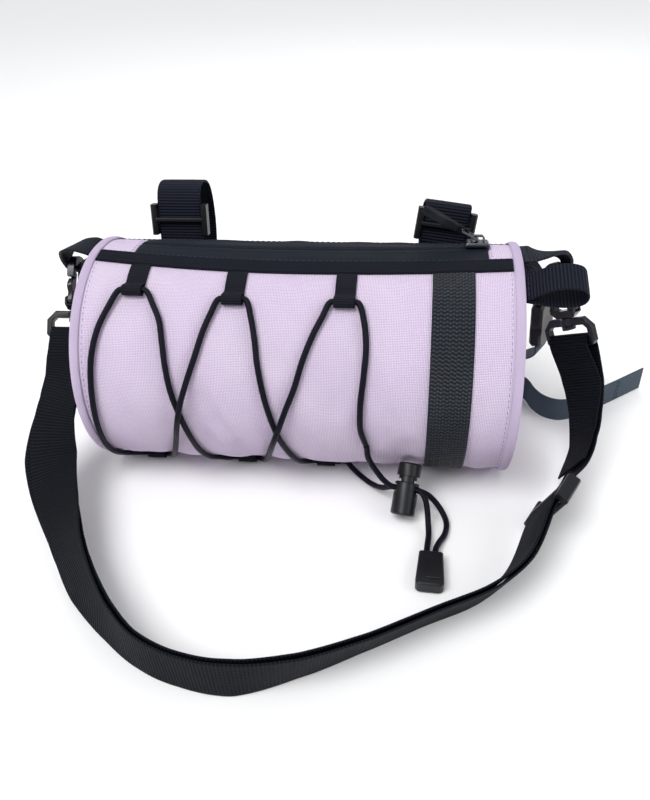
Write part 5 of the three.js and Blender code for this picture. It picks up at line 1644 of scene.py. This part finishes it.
@dataclass
class Trim:
    """Strips, webbing, zip and stitching that lie on the barrel."""

    tooth: float = 0.0013

    def _web_relief(self, along: Array, angle: Array, share_x: Array, share_a: Array) -> Array:
        """Ribs across the wide webbing, in columns that step against each other.

        Args:
            along: Places along the barrel.
            angle: Angles round the barrel.
            share_x: Shares along the barrel, from 0 to 1.
            share_a: Shares round the barrel, from 0 to 1; not used.

        Returns:
            Heights in metres.
        """
        arc = np.radians(angle) * BARREL.radius
        column = np.floor(along / WIDE_WEB.column) % 2
        wave = np.abs(np.sin(np.pi * (arc / WIDE_WEB.rib + WIDE_WEB.step * column)))
        return -0.0003 * (1 - wave) * np.clip(np.minimum(share_x, 1 - share_x) / 0.07, 0, 1)

    def _strip_relief(self, along: Array, angle: Array, share_x: Array, share_a: Array) -> Array:
        """A folded edge: thicker along both borders and drawn down along its seam.

        Args:
            along: Places along the barrel.
            angle: Angles round the barrel; not used.
            share_x: Shares along the barrel, from 0 to 1; not used.
            share_a: Shares round the barrel, from 0 to 1.

        Returns:
            Heights in metres.
        """
        bead = np.exp(-((np.minimum(share_a, 1 - share_a) - 0.1) / 0.06) ** 2)
        drawn = 0.00008 * np.cos(along * 2 * np.pi / 0.0029) * bead
        return -0.00022 * (1 - bead) + drawn - 0.00008

    def _tape_relief(self, along: Array, angle: Array, share_x: Array, share_a: Array) -> Array:
        """A tape that lies softly, with one low ridge over the edge of the coil."""
        ridge = 0.00022 * np.exp(-((share_a - 0.78) / 0.07) ** 2)
        return ridge + 0.00016 * np.sin(along * 61 + share_a * 2.2) * np.sin(np.pi * share_a) - 0.0002

    def _coil_relief(self, along: Array, angle: Array, share_x: Array, share_a: Array) -> Array:
        """Turns of the coil on both sides of the line where they meet.

        Args:
            along: Places along the barrel.
            angle: Angles round the barrel; not used.
            share_x: Shares along the barrel, from 0 to 1; not used.
            share_a: Shares round the barrel, from 0 to 1.

        Returns:
            Heights in metres.
        """
        turns = np.abs(np.sin(np.pi * (along / self.tooth + np.where(share_a < 0.5, 0.0, 0.5))))
        row = np.abs(np.sin(2 * np.pi * np.clip(share_a, 0, 1)))
        return -0.0005 + 0.0005 * turns ** 0.7 * np.sqrt(row)

    def strips(self) -> None:
        """Makes the binding strips, the wide webbing and the zip."""
        full = (-BARREL.strip_half, BARREL.strip_half)
        proud = BARREL.gap + BARREL.strip_thickness
        Wrap("top_strip", ("top_binding",), full, BARREL.strip_low, BARREL.strip_top, BARREL.gap, proud,
             STRIP_WEB, "black_canvas", (0.0006, 0.0006), self._strip_relief, 0.0005).build()
        Wrap("base_strip", ("bottom_binding",), full, lambda x: BARREL.base_rear(x) - 360, BARREL.base_front,
             BARREL.gap, proud, STRIP_WEB, "black_canvas", (0.0015, 0.001), self._strip_relief,
             0.0004).build()
        Wrap("wide_webbing", ("front_webbing",), BARREL.webbing_span, shifted(BARREL.base_front, 1),
             shifted(BARREL.strip_low, -1), BARREL.gap, proud, WIDE_WEB, "black_webbing",
             (0.00047, 0.00045), self._web_relief, 0.0005, turned=True).build()
        bottom = -BARREL.tape_thickness
        Wrap("tape_front", ("zip_tape_front",), BARREL.zip_span, BARREL.strip_top,
             shifted(BARREL.zip_front, -1), bottom, 0.0002, ZIP_TAPE, "zip_tape", (0.002, 0.0006),
             self._tape_relief, 0.0003).build()
        Wrap("tape_rear", ("zip_tape_rear",), BARREL.zip_span, shifted(BARREL.zip_rear, 1), BARREL.rear_edge,
             bottom, 0.0002, ZIP_TAPE, "zip_tape", (0.002, 0.0006), self._tape_relief, 0.0003).build()
        Wrap("coil", ("zip_coil",), BARREL.zip_span, BARREL.zip_front, BARREL.zip_rear, bottom, BARREL.gap,
             ZIP_TAPE, "zip_tape", (0.00033, 0.00022), self._coil_relief, 0.0003).build()

    def stitches(self) -> None:
        """Makes the seams' stitches on the strips, panels and patches."""
        x = np.linspace(-BARREL.strip_half + 0.001, BARREL.strip_half - 0.001, 160)
        proud = BARREL.gap + BARREL.strip_thickness - 0.00022
        black = Stitching()
        for line, hairs, level in (
            (BARREL.strip_top, -3.5, proud),
            (BARREL.base_front, -4.0, proud - 0.0001),
            (BARREL.rear_edge, 5.0, 0.0),
            (lambda p: BARREL.base_rear(p) - 360, 4.0, proud - 0.0001),
        ):
            angle = line(x) + hairs * HAIR
            black.along(BARREL.point(x, angle, level), BARREL.normal(angle))
        black.build("strip_stitches", THREAD)
        lilac = Stitching(thread=0.00034, length=0.0017, space=0.0013)
        for side in Side:
            place = side.value * (BARREL.end_face - BARREL.piping_width - 0.0011)
            angle = np.linspace(float(BARREL.base_front(0)) + 2, float(BARREL.strip_low(place)) - 1, 150)
            spots = np.full_like(angle, place)
            lilac.along(BARREL.point(spots, angle, -0.00002), BARREL.normal(angle))
            edge = BARREL.zip_span[0] - 0.0016 if side is Side.LEFT else BARREL.zip_span[1] + 0.0016
            angle = np.linspace(float(BARREL.strip_top(edge)) + 2, float(BARREL.rear_edge(edge)) - 2, 40)
            lilac.along(BARREL.point(np.full_like(angle, edge), angle, 0.0), BARREL.normal(angle))
        lilac.build("panel_stitches", LILAC_THREAD)

    def build(self) -> None:
        """Makes all trim."""
        self.strips()
        self.stitches()


@dataclass
class Straps:
    """Every strap, loop and tab, with the stitches that hold them."""

    def build(self, lacing: Lacing) -> None:
        """Makes the straps.

        Args:
            lacing: The laced cord, which knows the tabs.
        """
        sewing = Stitching(thread=0.0005, length=0.0024, space=0.0006)
        for name, _, _ in lacing.tabs:
            path = Strap(f"{name}_fold", name, TAB_WEB, "black_webbing", relief=0.12).build()
            for at in (path.length - 0.0105, path.length - 0.0121):
                sewing.along(*path.row_across(at, 0.86, self._outer_face(path, at)))
        Strap("carry_strap", "shoulder_strap", STRAP_WEB, "black_webbing").build()
        for side in Side:
            loop = Strap(f"hook_loop_{side.word}", f"end_loop_{side.word}", LOOP_WEB, "black_webbing").build()
            sewing.along(*loop.row_across(0.0014, 0.9, self._outer_face(loop, 0.0014)))
            bar = Strap(f"bar_strap_{side.word}", f"handlebar_strap_{side.word}", LOOP_WEB,
                        "black_webbing").build()
            for start, end in ((0.0012, 0.0122), (bar.length - 0.0122, bar.length - 0.0012)):
                face = self._outer_face(bar, (start + end) / 2)
                for at in (start, end):
                    sewing.along(*bar.row_across(at, 0.88, face))
                for share in (-0.88, 0.88):
                    sewing.along(*bar.row_along(start, end, share, face))
        grab = Strap("grab_loop", "grab_loop_right", LOOP_WEB, "black_webbing").build()
        for at in (0.0014, grab.length - 0.0014):
            sewing.along(*grab.row_across(at, 0.9, 1))
            sewing.along(*grab.row_across(at, 0.9, -1))
        anchor = Strap("side_anchor", "stabiliser_anchor", LOOP_WEB, "black_webbing").build()
        sewing.along(*anchor.row_across(0.0014, 0.9, 1))
        tail = Strap("side_tail", "stabiliser_tail", SLATE_WEB, "slate_webbing", relief=0.1).build()
        hem = Stitching(thread=0.00045, length=0.0022, space=0.0006)
        tip = self._far_end(tail)
        for inset in (0.0215, 0.0235):
            at = abs(tip - inset)
            for face in (1, -1):
                hem.along(*tail.row_across(at, 0.9, face))
        hem.build("hem_stitches", THREAD)
        sewing.build("strap_stitches", THREAD)

    @staticmethod
    def _outer_face(path: BandPath, at: float) -> int:
        """The face of a strap that looks away from the barrel's axis.

        Args:
            path: The strap's path.
            at: Distance along the strap.

        Returns:
            1 or -1.
        """
        spot, out = path.surface(np.array([at]), np.array([0.0]), 1)
        axis = np.array([spot[0, 0], 0, BARREL.axis_height])
        return 1 if float((spot[0] - axis) @ out[0]) > 0 else -1

    @staticmethod
    def _far_end(path: BandPath) -> float:
        """Distance along the strap of its end on the right."""
        return path.length if path.rows[-1, 0] > path.rows[0, 0] else 0.0


@dataclass
class Hardware:
    """Moulded and metal pieces: the frame's own solids, with broken edges and a finish."""

    edge: float = 0.00028
    plain: tuple[str, ...] = ("cord_lock_barrel", "cord_lock_plunger", "cord_end", "stabiliser_buckle",
                              "strap_slider", "handlebar_slider_left", "handlebar_slider_right")
    glossy: tuple[str, ...] = ("hook_ring_left", "hook_ring_right", "hook_body_left", "hook_body_right",
                               "hook_gate_left", "hook_gate_right")
    metal: tuple[str, ...] = ("zip_slider", "zip_pull_loop")
    sewn: tuple[str, ...] = ("zip_pull_tab",)

    def build(self) -> None:
        """Dresses every hard piece."""
        kinds = ((PLASTIC, self.plain), (GLOSSY, self.glossy), (GUNMETAL, self.metal), (PULL, self.sewn))
        for finish, names in kinds:
            for name in names:
                self._dress(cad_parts[name], finish)

    def _dress(self, node: bpy.types.Object, finish: Finish) -> None:
        """Gives one solid its finish and breaks its sharp edges.

        Args:
            node: The frame's own object.
            finish: Its finish.
        """
        node.data.materials.clear()
        node.data.materials.append(finish.material())
        node.data.polygons.foreach_set("use_smooth", [True] * len(node.data.polygons))
        weld = node.modifiers.new("one skin", "WELD")
        weld.merge_threshold = 0.000005
        bevel = node.modifiers.new("broken edges", "BEVEL")
        bevel.width = self.edge if finish is not GUNMETAL else self.edge / 2
        bevel.segments = 2
        bevel.limit_method = "ANGLE"
        bevel.angle_limit = math.radians(38)
        bevel.harden_normals = False
        normals = node.modifiers.new("even shading", "WEIGHTED_NORMAL")
        normals.keep_sharp = False
        LOG.info("%s dressed", node.name)


# Setting


@dataclass
class Setting:
    """The camera at the photograph's angle, the floor and soft studio light."""

    azimuth: float = 8.12
    elevation: float = 36.0
    roll: float = -2.56
    distance: float = 0.4199
    target: tuple[float, float, float] = (0.0089, 0.0, 0.0258)
    lens: float = 32.7

    def camera(self) -> None:
        """Places the camera."""
        turn, rise, roll = (math.radians(a) for a in (self.azimuth, self.elevation, self.roll))
        back = Vector((math.sin(turn) * math.cos(rise), -math.cos(turn) * math.cos(rise), math.sin(rise)))
        right = Vector((math.cos(turn), math.sin(turn), 0))
        up = back.cross(right)
        rolled_right = right * math.cos(roll) + up * math.sin(roll)
        rolled_up = up * math.cos(roll) - right * math.sin(roll)
        data = bpy.data.cameras.new("photo_camera")
        data.lens = self.lens
        data.sensor_width = 36
        data.clip_start = 0.01
        camera = bpy.data.objects.new("photo_camera", data)
        axes = Matrix((rolled_right, rolled_up, back)).transposed().to_4x4()
        axes.translation = Vector(self.target) + back * self.distance
        camera.matrix_world = axes
        bpy.context.scene.collection.objects.link(camera)
        bpy.context.scene.camera = camera

    def floor(self) -> None:
        """Lays a wide pale floor under the bag."""
        mesh = bpy.data.meshes.new("floor")
        mesh.from_pydata([(-6, -6, 0), (6, -6, 0), (6, 6, 0), (-6, 6, 0)], [], [(0, 1, 2, 3)])
        floor = bpy.data.objects.new("floor", mesh)
        material = bpy.data.materials.new("pale_floor")
        material.use_nodes = True
        sketch = NodeSketch(material.node_tree)
        shader = material.node_tree.nodes["Principled BSDF"]
        grain = sketch.noise(sketch.node("ShaderNodeTexCoord").outputs["Object"], 3.0)
        pale = sketch.mix(grain, rgba((249, 249, 250)), rgba((252, 252, 252)))
        sketch.feed(shader.inputs["Base Color"], pale)
        shader.inputs["Roughness"].default_value = 0.95
        shader.inputs["Specular IOR Level"].default_value = 0.1
        mesh.materials.append(material)
        bpy.context.scene.collection.objects.link(floor)

    def light(self) -> None:
        """Hangs the lights and sets the surrounding glow."""
        world = bpy.data.worlds.new("studio")
        world.use_nodes = True
        glow = world.node_tree.nodes["Background"]
        glow.inputs["Color"].default_value = (0.97, 0.98, 1.0, 1.0)
        glow.inputs["Strength"].default_value = 0.5
        bpy.context.scene.world = world
        sun = bpy.data.lights.new("window", "SUN")
        sun.energy = 1.3
        sun.angle = math.radians(38)
        window = bpy.data.objects.new("window", sun)
        window.rotation_euler = (math.radians(26), math.radians(-16), 0)
        bpy.context.scene.collection.objects.link(window)
        for name, place, size, power in (
            ("key", (-0.45, -0.55, 1.0), 0.6, 4.2),
            ("right", (1.0, -0.35, 0.7), 0.7, 3.4),
            ("back", (0.1, 0.8, 0.9), 0.6, 2.6),
        ):
            data = bpy.data.lights.new(name, "AREA")
            data.energy = power
            data.size = size
            lamp = bpy.data.objects.new(name, data)
            lamp.location = place
            aim = Vector((0, 0, 0.06)) - Vector(place)
            lamp.rotation_euler = aim.to_track_quat("-Z", "Y").to_euler()
            bpy.context.scene.collection.objects.link(lamp)

    def build(self) -> None:
        """Sets everything that isn't the bag."""
        self.camera()
        self.floor()
        self.light()
        bpy.context.scene.view_settings.view_transform = "Standard"


def main() -> None:
    """Builds the whole bag, logging its pieces' face counts and the strands' lengths."""
    logging.basicConfig(level=logging.INFO, format="%(name)s %(message)s")
    Setting().build()
    lacing = Lacing()
    lacing.build()
    Shell().build(lacing)
    Trim().build()
    Straps().build(lacing)
    Hardware().build()


if __name__ == "__main__":
    main()
